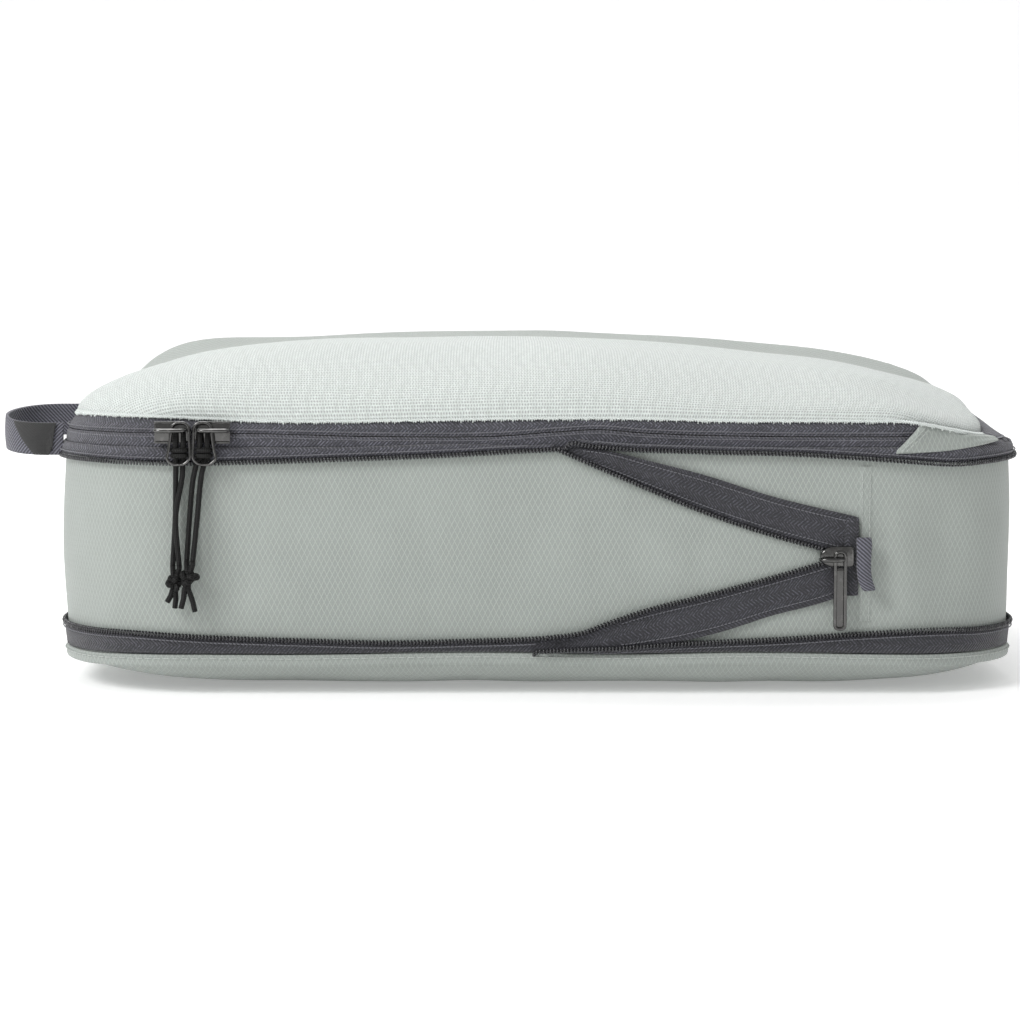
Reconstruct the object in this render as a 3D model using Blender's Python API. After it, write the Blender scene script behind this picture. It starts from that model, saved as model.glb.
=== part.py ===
"""Expanding packing cube: a soft box with a lid hinged on its right side, a main zip round the lid,
and an expansion zip round its gusset, drawn fully open. Metres, +Z up, front towards -Y.
The origin is the middle of the flat face that the cube rests on."""

import math

import bmesh
import bpy

# The body seen from above is a rectangle with round corners.
HALF_LENGTH = 0.1765
HALF_DEPTH = 0.1270
CORNER_RADIUS = 0.050
ARC_STEPS = 6

# Heights of the seams above the rest face.
SEAM_LOW = 0.0145
SEAM_HIGH = 0.0895
LID_EDGE = 0.0996
CROWN = 0.1255
LID_INSET = 0.0050
PANEL_SEAM_Y = 0.038

# Thicknesses and the gap that neighbouring pieces keep.
FABRIC = 0.0012
TAPE = 0.0007
COIL_RADIUS = 0.0007
CORD_RADIUS = 0.0010
WIRE_RADIUS = 0.00055
GAP = 0.0003

# The expansion zip's two tapes leave the seams in a V that closes at mid height on the right.
V_RIGHT = 0.1100
V_TAPE_OUT = (0.0016, 0.0023)
V_COIL_OUT = (0.0016, 0.0026)

# The main sliders stand side by side, mirrored about this X, and hang their pulls from an upright leg.
SLIDER_MIRROR_X = -0.1240
SLIDER_Z = 0.0953
PULL_LEG_X = -0.1312
PULL_LEG_OUT = 0.0057
PULL_TOP_Z = 0.0992
PULL_LOW_Z = 0.0840

STRAIGHT_X = HALF_LENGTH - CORNER_RADIUS
STRAIGHT_Y = HALF_DEPTH - CORNER_RADIUS
QUARTER = CORNER_RADIUS * math.pi / 2
PERIMETER = 4 * (STRAIGHT_X + STRAIGHT_Y + QUARTER)

# The main zip runs from the back right corner round the back, left side and front.
# The lid's hinge is the rest.
ZIP_RUN = (STRAIGHT_X + 1.5 * QUARTER + 2 * STRAIGHT_Y, PERIMETER + STRAIGHT_X)
HINGE_RUN = (STRAIGHT_X + 0.62 * QUARTER, ZIP_RUN[0] - 0.002)

# Each material is colour, roughness and metallic.
MATERIALS = {
    "sage_ripstop": ((0.40, 0.45, 0.41), 0.85, 0.0),
    "mint_mesh": ((0.74, 0.81, 0.77), 0.80, 0.0),
    "slate_tape": ((0.090, 0.090, 0.110), 0.80, 0.0),
    "coil_nylon": ((0.030, 0.030, 0.040), 0.45, 0.0),
    "grey_webbing": ((0.170, 0.170, 0.200), 0.80, 0.0),
    "black_label": ((0.035, 0.035, 0.032), 0.70, 0.0),
    "gunmetal": ((0.050, 0.050, 0.048), 0.35, 0.9),
    "black_cord": ((0.012, 0.012, 0.012), 0.75, 0.0),
}


def clear_scene():
    for obj in list(bpy.data.objects):
        bpy.data.objects.remove(obj)


def material(name):
    found = bpy.data.materials.get(name)
    if found:
        return found
    colour, roughness, metallic = MATERIALS[name]
    made = bpy.data.materials.new(name)
    made.use_nodes = True
    shader = made.node_tree.nodes["Principled BSDF"]
    shader.inputs["Base Color"].default_value = (*colour, 1.0)
    shader.inputs["Roughness"].default_value = roughness
    shader.inputs["Metallic"].default_value = metallic
    return made


def add_object(name, data, look):
    obj = bpy.data.objects.new(name, data)
    bpy.context.scene.collection.objects.link(obj)
    data.materials.append(material(look))
    return obj


def solid(name, bm, look):
    """The finished bmesh as an object, with its faces turned outwards."""
    bmesh.ops.recalc_face_normals(bm, faces=bm.faces)
    mesh = bpy.data.meshes.new(name)
    bm.to_mesh(mesh)
    bm.free()
    mesh.shade_smooth()
    mesh.set_sharp_from_angle(angle=math.radians(35))
    return add_object(name, mesh, look)


def outline(s, out=0.0, scale=1.0):
    """The point s metres anticlockwise along the outline from the middle of the front, moved outwards."""
    s %= PERIMETER
    runs = [STRAIGHT_X, QUARTER, 2 * STRAIGHT_Y, QUARTER, 2 * STRAIGHT_X]
    runs += [QUARTER, 2 * STRAIGHT_Y, QUARTER, STRAIGHT_X]
    x, y, heading = 0.0, -HALF_DEPTH, 0.0
    for index, run in enumerate(runs):
        step = min(s, run)
        if index % 2:
            turn = step / CORNER_RADIUS
            x += CORNER_RADIUS * (math.sin(heading + turn) - math.sin(heading))
            y += CORNER_RADIUS * (math.cos(heading) - math.cos(heading + turn))
            heading += turn
        else:
            x += step * math.cos(heading)
            y += step * math.sin(heading)
        s -= step
        if s <= 1e-12:
            break
    return scale * x + out * math.sin(heading), scale * y - out * math.cos(heading)


def stations(start=0.0, end=PERIMETER):
    """Distances along the outline that a shape needs: its ends, the corners' ends and steps round them."""
    ends = [STRAIGHT_X, STRAIGHT_X + QUARTER]
    ends += [ends[1] + 2 * STRAIGHT_Y, ends[1] + 2 * STRAIGHT_Y + QUARTER]
    ends += [PERIMETER - ends[3], PERIMETER - ends[2], PERIMETER - ends[1], PERIMETER - ends[0]]
    marks = []
    for first in ends[::2]:
        for lap in (0.0, PERIMETER):
            marks += [lap + first + QUARTER * i / ARC_STEPS for i in range(ARC_STEPS + 1)]
    inner = sorted(m for m in marks if start + 0.002 < m < end - 0.002)
    if end - start > PERIMETER - 1e-9:
        return inner
    return [start, *inner, end]


def sweep(name, profile, look, start=0.0, end=PERIMETER):
    """A profile of (out, z) points carried along the outline: a closed ring, or a strip with two ends."""
    closed = end - start > PERIMETER - 1e-9
    bm = bmesh.new()
    loops = []
    for s in stations(start, end):
        loops.append([bm.verts.new((*outline(s, out), z)) for out, z in profile])
    count = len(profile)
    pairs = list(zip(loops, loops[1:]))
    if closed:
        pairs.append((loops[-1], loops[0]))
    for here, there in pairs:
        for i in range(count):
            j = (i + 1) % count
            bm.faces.new((here[i], here[j], there[j], there[i]))
    if not closed:
        bm.faces.new(loops[0])
        bm.faces.new(loops[-1])
    return solid(name, bm, look)


def leaning(out_a, z_a, out_b, z_b, thick):
    """A flat tape's profile, standing from one (out, z) point to another."""
    length = math.hypot(out_b - out_a, z_b - z_a)
    across_out = (z_b - z_a) / length * thick
    across_z = -(out_b - out_a) / length * thick
    return [
        (out_a, z_a),
        (out_b, z_b),
        (out_b + across_out, z_b + across_z),
        (out_a + across_out, z_a + across_z),
    ]


def round_profile(out, z, radius, sides=6):
    turns = [2 * math.pi * (i + 0.5) / sides for i in range(sides)]
    return [(out + radius * math.cos(t), z + radius * math.sin(t)) for t in turns]


def box_profile(out_low, out_high, z_low, z_high):
    return [(out_low, z_low), (out_high, z_low), (out_high, z_high), (out_low, z_high)]


def dish(steps, height, thickness, drawn_in=0.0):
    """A closed shell of scaled outlines from edge to centre, thickened on its inner side."""
    bm = bmesh.new()
    marks = stations()
    direction = 1.0 if height(0.0) < height(1.0) else -1.0
    skins = []
    for inset, rise in ((0.0, 0.0), (thickness, direction * thickness)):
        loops = []
        for f in steps:
            z = height(f) + (0.0 if f == steps[0] else rise)
            loops.append([bm.verts.new((*outline(s, -inset - drawn_in * f, f), z)) for s in marks])
        skins.append(loops)
    count = len(marks)
    for loops in skins:
        for here, there in zip(loops, loops[1:]):
            for i in range(count):
                j = (i + 1) % count
                bm.faces.new((here[i], here[j], there[j], there[i]))
        bm.faces.new(loops[-1])
    outer, inner = skins[0][0], skins[1][0]
    for i in range(count):
        j = (i + 1) % count
        bm.faces.new((outer[i], outer[j], inner[j], inner[i]))
    return bm


def belly_height(f):
    """The bottom is flat in the middle and rounds up to the seam."""
    flat = 0.66
    share = max(0.0, f - flat) / (1 - flat)
    return SEAM_LOW * (1 - math.sqrt(max(0.0, 1 - share**2)))


def crown_height(f):
    return LID_EDGE + (CROWN - LID_EDGE) * (1 - f**4) ** 0.58


def cut_panel(bm, y, keep_front):
    """Cuts a closed shell at a plane across its depth and closes the cut."""
    sign = 1.0 if keep_front else -1.0
    everything = bm.verts[:] + bm.edges[:] + bm.faces[:]
    bmesh.ops.bisect_plane(
        bm, geom=everything, plane_co=(0, y, 0), plane_no=(0, sign, 0), clear_outer=True
    )
    rim = [e for e in bm.edges if len(e.link_faces) == 1]
    bmesh.ops.contextual_create(bm, geom=rim)
    return bm


def lid_panels():
    steps = (1.0, 0.985, 0.96, 0.92, 0.87, 0.80, 0.70, 0.55, 0.35)
    front = cut_panel(dish(steps, crown_height, FABRIC, LID_INSET), PANEL_SEAM_Y - GAP / 2, True)
    solid("lid_mesh_panel", front, "mint_mesh")
    rear = cut_panel(dish(steps, crown_height, FABRIC, LID_INSET), PANEL_SEAM_Y + GAP / 2, False)
    solid("lid_fabric_panel", rear, "sage_ripstop")


def panel_seam():
    """A narrow tape that lies on the lid along the join of its two panels."""
    half_width = 0.0015
    bm = bmesh.new()
    rows = []
    count = 25
    for i in range(count):
        t = math.cos(math.pi * i / (count - 1))
        reach = HALF_LENGTH - LID_INSET
        x = 0.965 * reach * t
        f = max(abs(x) / reach, (PANEL_SEAM_Y + half_width) / (HALF_DEPTH - LID_INSET))
        z = crown_height(f)
        lean = 0.0009 * max(0.0, f - 0.8) / 0.2 * (1 if x > 0 else -1)
        low = (x + lean, z + GAP)
        high = (x + 1.6 * lean, z + GAP + TAPE)
        row = [bm.verts.new((low[0], PANEL_SEAM_Y + side * half_width, low[1])) for side in (-1, 1)]
        row += [bm.verts.new((high[0], PANEL_SEAM_Y + side * half_width, high[1])) for side in (1, -1)]
        rows.append(row)
    for here, there in zip(rows, rows[1:]):
        for i in range(4):
            j = (i + 1) % 4
            bm.faces.new((here[i], here[j], there[j], there[i]))
    bm.faces.new(rows[0])
    bm.faces.new(rows[-1])
    solid("lid_panel_seam", bm, "slate_tape")


def through(x, points):
    """Height at x of the parabola through three (x, z) points."""
    total = 0.0
    for i, (xi, zi) in enumerate(points):
        share = 1.0
        for j, (xj, _) in enumerate(points):
            if i != j:
                share *= (x - xj) / (xi - xj)
        total += zi * share
    return total


def front_plate(name, corners, out, look):
    """A flat piece on the front: (x, z) corners, made solid between two distances out from the front."""
    bm = bmesh.new()
    near = [bm.verts.new((x, -HALF_DEPTH - out[1], z)) for x, z in corners]
    far = [bm.verts.new((x, -HALF_DEPTH - out[0], z)) for x, z in corners]
    bm.faces.new(near)
    bm.faces.new(far)
    for i in range(len(corners)):
        j = (i + 1) % len(corners)
        bm.faces.new((near[i], near[j], far[j], far[i]))
    return solid(name, bm, look)


def edge_points(line, start, end, shift=0.0, count=9):
    xs = [start + (end - start) * i / (count - 1) for i in range(count)]
    return [(x, through(x, line) + shift) for x in xs]


def v_branch(prefix, coil_line, coil_start, back_line, back_start, side):
    """One tape of the V and its coil. The coil lies on the tape's inner edge, on the side given."""
    back = edge_points(back_line, V_RIGHT, back_start)
    tape = edge_points(coil_line, coil_start, V_RIGHT) + back
    front_plate(prefix + "_tape", tape, V_TAPE_OUT, "slate_tape")
    near = edge_points(coil_line, coil_start, V_RIGHT - 0.009, side * GAP)
    far = edge_points(coil_line, V_RIGHT - 0.009, coil_start, side * (GAP + 2 * COIL_RADIUS))
    front_plate(prefix + "_coil", near + far, V_COIL_OUT, "coil_nylon")


def expansion_v():
    coil = ((0.0076, 0.0895), (0.0577, 0.0673), (0.1080, 0.0519))
    back = ((0.0219, 0.0895), (0.0577, 0.0805), (0.1150, 0.0648))
    v_branch("v_upper", coil, 0.0215, back, 0.0500, -1)
    coil = ((-0.0031, 0.0218), (0.0434, 0.0333), (0.1061, 0.0494))
    back = ((0.0362, 0.0196), (0.0792, 0.0307), (0.1114, 0.0386))
    v_branch("v_lower", coil, 0.0180, back, 0.0630, 1)


def base_body():
    steps = (1.0, 0.997, 0.985, 0.96, 0.93, 0.88, 0.82, 0.75, 0.66)
    solid("bottom_panel", dish(steps, belly_height, FABRIC), "sage_ripstop")
    fold = box_profile(0.0003, 0.0018, 0.0118, 0.0142)
    sweep("bottom_edge_fold", fold, "sage_ripstop")
    sweep("bottom_inner_binding", box_profile(-0.0030, -0.0018, 0.0160, 0.0230), "slate_tape")
    low_tape = leaning(0.0006, SEAM_LOW, 0.0012, 0.0240, TAPE)
    sweep("lower_flap_tape", low_tape, "slate_tape")
    low_coil = round_profile(0.0016, 0.0240 + GAP + COIL_RADIUS, COIL_RADIUS)
    sweep("lower_flap_coil", low_coil, "coil_nylon")


def gusset():
    """The tall fabric wall between the two rows of the expansion zip, bulging a little."""
    bulge = 0.0012
    low, high = SEAM_LOW + 2 * GAP, SEAM_HIGH - 2 * GAP
    shares = (0.0, 0.25, 0.5, 0.75, 1.0)
    outer = [(bulge * math.sin(math.pi * t), low + (high - low) * t) for t in shares]
    inner = [(out - FABRIC, z) for out, z in reversed(outer)]
    sweep("gusset_wall", outer + inner, "sage_ripstop")
    seam = [(0.1155, 0.0270), (0.1200, 0.0270), (0.1200, 0.0830), (0.1155, 0.0830)]
    front_plate("gusset_side_seam", seam, (0.0015, 0.0020), "sage_ripstop")
    patch = [(0.1103, 0.0365), (0.1150, 0.0365), (0.1150, 0.0648), (0.1103, 0.0648)]
    front_plate("zip_end_patch", patch, V_TAPE_OUT, "slate_tape")


def rim_body():
    high_tape = leaning(0.0012, 0.0852, 0.0006, SEAM_HIGH, TAPE)
    sweep("upper_flap_tape", high_tape, "slate_tape")
    high_coil = round_profile(0.0016, 0.0852 - GAP - COIL_RADIUS, COIL_RADIUS)
    sweep("upper_flap_coil", high_coil, "coil_nylon")
    sweep("rim_inner_binding", box_profile(-0.0030, -0.0018, 0.0850, 0.0930), "slate_tape")
    tape = leaning(0.0002, SEAM_HIGH + GAP, 0.0000, 0.0938, TAPE)
    sweep("main_zip_lower_tape", tape, "slate_tape", *ZIP_RUN)
    coil = box_profile(-0.0014, -0.0003, 0.0932, 0.0943)
    sweep("main_zip_lower_coil", coil, "coil_nylon", *ZIP_RUN)
    start = STRAIGHT_X + 0.0010
    garage = box_profile(0.0012, 0.0019, 0.0902, 0.0985)
    sweep("zip_garage", garage, "sage_ripstop", start, start + 0.045)


def lid_body():
    lid_panels()
    panel_seam()
    tape = leaning(0.0000, 0.0951, -LID_INSET, LID_EDGE - GAP, TAPE)
    sweep("main_zip_upper_tape", tape, "slate_tape", *ZIP_RUN)
    coil = box_profile(-0.0022, -0.0011, 0.0946, 0.0957)
    sweep("main_zip_upper_coil", coil, "coil_nylon", *ZIP_RUN)
    strip = leaning(0.0002, SEAM_HIGH + 2 * GAP, -LID_INSET, LID_EDGE - 2 * GAP, 0.0008)
    sweep("lid_hinge_strip", strip, "slate_tape", *HINGE_RUN)


def ribbon(name, centre, half_height, thickness, look):
    """A strip standing on edge along (x, y, z) points: webbing bent into a loop."""
    bm = bmesh.new()
    rows = []
    for i, (x, y, z) in enumerate(centre):
        before = centre[max(0, i - 1)]
        after = centre[min(len(centre) - 1, i + 1)]
        along = (after[0] - before[0], after[1] - before[1])
        length = math.hypot(*along)
        side = (along[1] / length * thickness / 2, -along[0] / length * thickness / 2)
        rows.append(
            [
                bm.verts.new((x + sx * side[0], y + sx * side[1], z + sz * half_height))
                for sx, sz in ((-1, -1), (1, -1), (1, 1), (-1, 1))
            ]
        )
    for here, there in zip(rows, rows[1:]):
        for i in range(4):
            j = (i + 1) % 4
            bm.faces.new((here[i], here[j], there[j], there[i]))
    bm.faces.new(rows[0])
    bm.faces.new(rows[-1])
    return solid(name, bm, look)


def loop_path(grow, start, end, count):
    """Half an ellipse in plan from the near root to the far root, which sits higher."""
    root_x, near_y, far_y = -0.1803, -0.088, -0.046
    middle_y, half_gap, reach = (near_y + far_y) / 2, (far_y - near_y) / 2, 0.0205
    points = []
    for i in range(count):
        turn = math.pi * (start + (end - start) * i / (count - 1))
        x = root_x - (reach + grow) * math.sin(turn)
        y = middle_y - (half_gap + grow) * math.cos(turn)
        z = 0.0895 + 0.0020 * (1 - math.cos(turn))
        points.append((x, y, z))
    return points


def grab_loop_body():
    ribbon("grab_loop_webbing", loop_path(0.0, 0.0, 1.0, 17), 0.0060, 0.0014, "grey_webbing")
    ribbon("grab_loop_label", loop_path(0.0016, 0.22, 0.58, 8), 0.0066, 0.0008, "black_label")


def slider(name, nose_x, tail_x, z, plate_out, hole, bar, look="gunmetal"):
    """A slider: a nose-ended plate, and a bridge along it that leaves a hole for the pull's leg.
    hole is (one end, other end, height); bar is (one end, other end, z middle, thickness, width)."""
    half = 0.0038
    sign = 1 if tail_x > nose_x else -1
    waist = nose_x + sign * 0.0045
    shape = [
        (nose_x, z - 0.4 * half),
        (nose_x + sign * 0.0012, z - 0.8 * half),
        (waist, z - half),
        (tail_x, z - half),
        (tail_x, z + half),
        (waist, z + half),
        (nose_x + sign * 0.0012, z + 0.8 * half),
        (nose_x, z + 0.4 * half),
    ]
    thick = 0.0016
    body = front_plate(name, shape, (plate_out, plate_out + thick), look)
    under = plate_out + thick
    top = under + hole[2]
    bridge = [
        (bar[0], under - 0.0004),
        (hole[0], under - 0.0004),
        (hole[0], top),
        (hole[1], top),
        (hole[1], under - 0.0004),
        (bar[1], under - 0.0004),
        (bar[1], top + bar[3]),
        (bar[0], top + bar[3]),
    ]
    bm = bmesh.new()
    low = [bm.verts.new((x, -HALF_DEPTH - out, bar[2] - bar[4] / 2)) for x, out in bridge]
    high = [bm.verts.new((x, -HALF_DEPTH - out, bar[2] + bar[4] / 2)) for x, out in bridge]
    bm.faces.new(low)
    bm.faces.new(high)
    for i in range(len(bridge)):
        j = (i + 1) % len(bridge)
        bm.faces.new((low[i], low[j], high[j], high[i]))
    helper = solid(name + "_bridge", bm, look)
    helper.hide_render = True
    helper.display_type = "WIRE"
    join = body.modifiers.new("bridge", "BOOLEAN")
    join.operation = "UNION"
    join.solver = "EXACT"
    join.object = helper
    return body


def tube(name, points, radius, look, cyclic=False):
    curve = bpy.data.curves.new(name, "CURVE")
    curve.dimensions = "3D"
    curve.bevel_depth = radius
    curve.bevel_resolution = 2
    curve.use_fill_caps = True
    spline = curve.splines.new("POLY")
    spline.points.add(len(points) - 1)
    for point, place in zip(spline.points, points):
        point.co = (*place, 1.0)
    spline.use_cyclic_u = cyclic
    return add_object(name, curve, look)


def smooth_route(route, spacing):
    """Points at an even spacing along the smooth curve through a route's own points."""
    ends = [route[0], *route, route[-1]]
    dense = []
    for a, b, c, d in zip(ends, ends[1:], ends[2:], ends[3:]):
        for step in range(20):
            t = step / 20
            dense.append(
                tuple(
                    0.5 * (2 * q + (r - p) * t + (2 * p - 5 * q + 4 * r - s) * t * t)
                    + 0.5 * (3 * q - p - 3 * r + s) * t**3
                    for p, q, r, s in zip(a, b, c, d)
                )
            )
    dense.append(route[-1])
    kept = [dense[0]]
    for point in dense[1:-1]:
        if math.dist(point, kept[-1]) >= spacing and math.dist(point, route[-1]) >= spacing / 2:
            kept.append(point)
    return [*kept, dense[-1]]


def pull_ring(name, leg_x, free_x):
    """The wire ring: two upright legs, joined by a top and a bottom with round corners."""
    radius = 0.0012
    left, right = sorted((leg_x, free_x))
    corners = [
        (right - radius, PULL_TOP_Z - radius, 0.0),
        (left + radius, PULL_TOP_Z - radius, 0.5 * math.pi),
        (left + radius, PULL_LOW_Z + radius, math.pi),
        (right - radius, PULL_LOW_Z + radius, 1.5 * math.pi),
    ]
    points = []
    for centre_x, centre_z, first in corners:
        for i in range(5):
            turn = first + math.pi * i / 8
            x = centre_x + radius * math.cos(turn)
            points.append((x, -HALF_DEPTH - PULL_LEG_OUT, centre_z + radius * math.sin(turn)))
    tube(name, points, WIRE_RADIUS, "gunmetal", cyclic=True)


def pull_knot(name, x, out, z):
    """The overhand knot with its tails, as one turned shape."""
    upper = ((0.0040, 0.0014), (0.0024, 0.0024), (0.0, 0.0027))
    lower = ((-0.0026, 0.0024), (-0.0042, 0.0016), (-0.0105, 0.0013))
    sides = 10
    bm = bmesh.new()
    loops = []
    for rise, radius in upper + lower:
        loop = []
        for i in range(sides):
            turn = 2 * math.pi * i / sides
            y = -HALF_DEPTH - out + radius * math.sin(turn)
            loop.append(bm.verts.new((x + radius * math.cos(turn), y, z + rise)))
        loops.append(loop)
    for here, there in zip(loops, loops[1:]):
        for i in range(sides):
            j = (i + 1) % sides
            bm.faces.new((here[i], here[j], there[j], there[i]))
    bm.faces.new(loops[0])
    bm.faces.new(loops[-1])
    solid(name, bm, "black_cord")


def hitch(name, x):
    """The turns of cord that hitch it to the ring's cross bar, as one block between the legs."""
    corners = [(x - 0.0022, 0.0880), (x - 0.0014, 0.0872), (x + 0.0014, 0.0872), (x + 0.0022, 0.0880)]
    corners += [(x + 0.0022, 0.0900), (x + 0.0014, 0.0908), (x - 0.0014, 0.0908), (x - 0.0022, 0.0900)]
    front_plate(name, corners, (0.0030, 0.0072), "black_cord")


def mirrored(x, side):
    return x if side == "left" else 2 * SLIDER_MIRROR_X - x


# Routes of the cord strands of each pull: (x, out from the front, z), from the hitch down to the knot.
CORD_ROUTES = {
    "left_a": (
        (-0.1296, 0.0040, 0.0869),
        (-0.1299, 0.0036, 0.0790),
        (-0.1301, 0.0042, 0.0650),
        (-0.1310, 0.0060, 0.0480),
    ),
    "left_b": (
        (-0.1272, 0.0040, 0.0869),
        (-0.1276, 0.0043, 0.0790),
        (-0.1297, 0.0069, 0.0650),
        (-0.1286, 0.0074, 0.0480),
    ),
    "right_a": (
        (-0.1214, 0.0040, 0.0869),
        (-0.1236, 0.0042, 0.0790),
        (-0.1250, 0.0046, 0.0650),
        (-0.1259, 0.0068, 0.0496),
    ),
    "right_b": (
        (-0.1188, 0.0040, 0.0869),
        (-0.1208, 0.0043, 0.0790),
        (-0.1221, 0.0056, 0.0650),
        (-0.1236, 0.0084, 0.0496),
    ),
}
# The middle of each knot: (x, out from the front, z).
KNOTS = {"left": (-0.1302, 0.0062, 0.0420), "right": (-0.1250, 0.0086, 0.0438)}


def main_sliders():
    for side in ("left", "right"):
        nose = mirrored(-0.1244, side)
        tail = mirrored(-0.1376, side)
        hole = (mirrored(-0.1350, side), mirrored(-0.1286, side), 0.0038)
        bar = (mirrored(-0.1364, side), mirrored(-0.1272, side), 0.0964, 0.0012, 0.0026)
        slider("main_slider_" + side, nose, tail, SLIDER_Z, 0.0012, hole, bar)
        pull_ring("pull_ring_" + side, mirrored(PULL_LEG_X, side), mirrored(-0.1248, side))
        hitch("pull_hitch_" + side, mirrored(-0.1281, side))
        for strand in "ab":
            route = [(x, -HALF_DEPTH - out, z) for x, out, z in CORD_ROUTES[side + "_" + strand]]
            points = smooth_route(route, 5 * CORD_RADIUS)
            tube("pull_cord_" + side + "_" + strand, points, CORD_RADIUS, "black_cord")
        pull_knot("pull_knot_" + side, *KNOTS[side])


def expansion_slider():
    hole = (0.1030, 0.1076, 0.0020)
    bar = (0.1018, 0.1083, 0.0498, 0.0012, 0.0029)
    slider("expansion_slider_body", 0.1009, 0.1132, 0.0508, 0.0029, hole, bar)
    half_width = 0.0023
    left, right, top, low = 0.1058, 0.1104, 0.0530, 0.0243
    middle = left + half_width
    corners = [(left, top), (left, low + half_width)]
    for i in range(1, 6):
        turn = math.pi + math.pi * i / 6
        z = low + half_width * (1 + math.sin(turn))
        corners.append((middle + half_width * math.cos(turn), z))
    corners += [(right, low + half_width), (right, top)]
    tab = front_plate("expansion_pull_tab", corners, (0.0050, 0.0060), "gunmetal")
    eye_left, eye_right = left + 0.0011, right - 0.0011
    eye = [(eye_left, 0.0472), (eye_right, 0.0472), (eye_right, 0.0519), (eye_left, 0.0519)]
    cutter = front_plate("expansion_pull_eye", eye, (0.0040, 0.0070), "gunmetal")
    cutter.hide_render = True
    cutter.display_type = "WIRE"
    cut = tab.modifiers.new("eye", "BOOLEAN")
    cut.operation = "DIFFERENCE"
    cut.solver = "EXACT"
    cut.object = cutter
    stop = [(0.1140, 0.0400), (0.1196, 0.0386), (0.1186, 0.0500), (0.1190, 0.0576), (0.1142, 0.0576)]
    front_plate("zip_stop_tab", stop, (0.0029, 0.0048), "grey_webbing")



def main():
    clear_scene()
    base_body()
    gusset()
    expansion_v()
    rim_body()
    lid_body()
    grab_loop_body()
    main_sliders()
    expansion_slider()


main()
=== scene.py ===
"""The looks of the expanding packing cube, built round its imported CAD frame.

Metres, +Z up, front towards -Y. s is a distance along the outline, anticlockwise from the middle of the front,
and out is a distance outwards from it.
"""

import math
import random

import bmesh
import bpy
import numpy as np
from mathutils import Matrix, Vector, noise


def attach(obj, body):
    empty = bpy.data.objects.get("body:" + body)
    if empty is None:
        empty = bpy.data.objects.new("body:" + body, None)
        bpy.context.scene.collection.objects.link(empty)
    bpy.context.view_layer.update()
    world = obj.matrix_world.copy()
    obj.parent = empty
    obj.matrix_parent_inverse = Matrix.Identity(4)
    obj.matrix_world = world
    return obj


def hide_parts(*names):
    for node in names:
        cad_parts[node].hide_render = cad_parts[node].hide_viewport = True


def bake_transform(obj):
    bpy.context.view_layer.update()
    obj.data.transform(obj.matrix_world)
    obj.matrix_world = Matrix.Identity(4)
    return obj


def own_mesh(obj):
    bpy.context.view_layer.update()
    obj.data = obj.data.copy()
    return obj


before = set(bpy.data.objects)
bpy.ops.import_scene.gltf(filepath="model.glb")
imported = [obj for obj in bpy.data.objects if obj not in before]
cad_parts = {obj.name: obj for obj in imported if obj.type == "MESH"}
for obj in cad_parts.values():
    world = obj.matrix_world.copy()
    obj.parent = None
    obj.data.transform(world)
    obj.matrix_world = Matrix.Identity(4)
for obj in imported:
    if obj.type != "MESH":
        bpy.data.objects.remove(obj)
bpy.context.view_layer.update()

random.seed(7)

# The outline and seam heights are those of the CAD part.
HALF_LENGTH = 0.1765
HALF_DEPTH = 0.1270
CORNER_RADIUS = 0.050
SEAM_LOW = 0.0145
GUSSET_LOW = 0.0151
GUSSET_HIGH = 0.0889
ZIP_FOOT = 0.0893
LID_EDGE = 0.0996
CROWN = 0.1255
PANEL_SEAM_Y = 0.038
STRAIGHT_X = HALF_LENGTH - CORNER_RADIUS
STRAIGHT_Y = HALF_DEPTH - CORNER_RADIUS
QUARTER = CORNER_RADIUS * math.pi / 2
PERIMETER = 4 * (STRAIGHT_X + STRAIGHT_Y + QUARTER)

CLOTH = 0.0007
TAPE = 0.0006
COIL_PITCH = 0.00125
COIL_TURN_POINTS = 7
COIL_WIRE = 0.00034
COIL_FLATNESS = 0.70
CORD_RADIUS = 0.0010
SLIDER_MIRROR_X = -0.1240
MAIN_ZIP_Z = 0.0953

# A stitch starts and ends in the cloth: (share of its length, share of its height).
STITCH = ((0.0, 0.0), (0.15, 1.0), (0.5, 1.0), (0.85, 1.0), (1.0, 0.0))
STITCH_HEIGHT = 0.00022
STITCH_RADIUS = 0.00020

# Heights along the front, as (x, z). Distances beyond the corners are measured along the outline.
UPPER_COIL_LEFT = [
    (-0.60, 0.0846), (-0.30, 0.0846), (-0.205, 0.0848), (-0.165, 0.0847), (-0.147, 0.0844), (-0.121, 0.0843),
    (-0.103, 0.0847), (-0.068, 0.0858), (-0.032, 0.0872), (-0.007, 0.0886), (0.0076, 0.0893),
]
UPPER_COIL_RIGHT = [
    (0.0125, 0.0917), (0.016, 0.0908), (0.022, 0.0901), (0.058, 0.0884), (0.093, 0.0875), (0.129, 0.0852),
    (0.151, 0.0836), (0.166, 0.0840), (0.205, 0.0848), (0.30, 0.0846), (0.60, 0.0846),
]
LOWER_COIL_LEFT = [
    (-0.60, 0.0242), (-0.30, 0.0238), (-0.205, 0.0222), (-0.166, 0.0222), (-0.145, 0.0224), (-0.115, 0.0210),
    (-0.084, 0.0200), (-0.057, 0.0193), (-0.021, 0.0200), (-0.009, 0.0203), (0.0037, 0.0209),
]
LOWER_COIL_RIGHT = [
    (0.0010, 0.0164), (0.0100, 0.0169), (0.028, 0.0175), (0.048, 0.0188), (0.065, 0.0196), (0.090, 0.0207),
    (0.115, 0.0224), (0.140, 0.0235), (0.166, 0.0226), (0.205, 0.0222), (0.30, 0.0238), (0.60, 0.0242),
]
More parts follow.
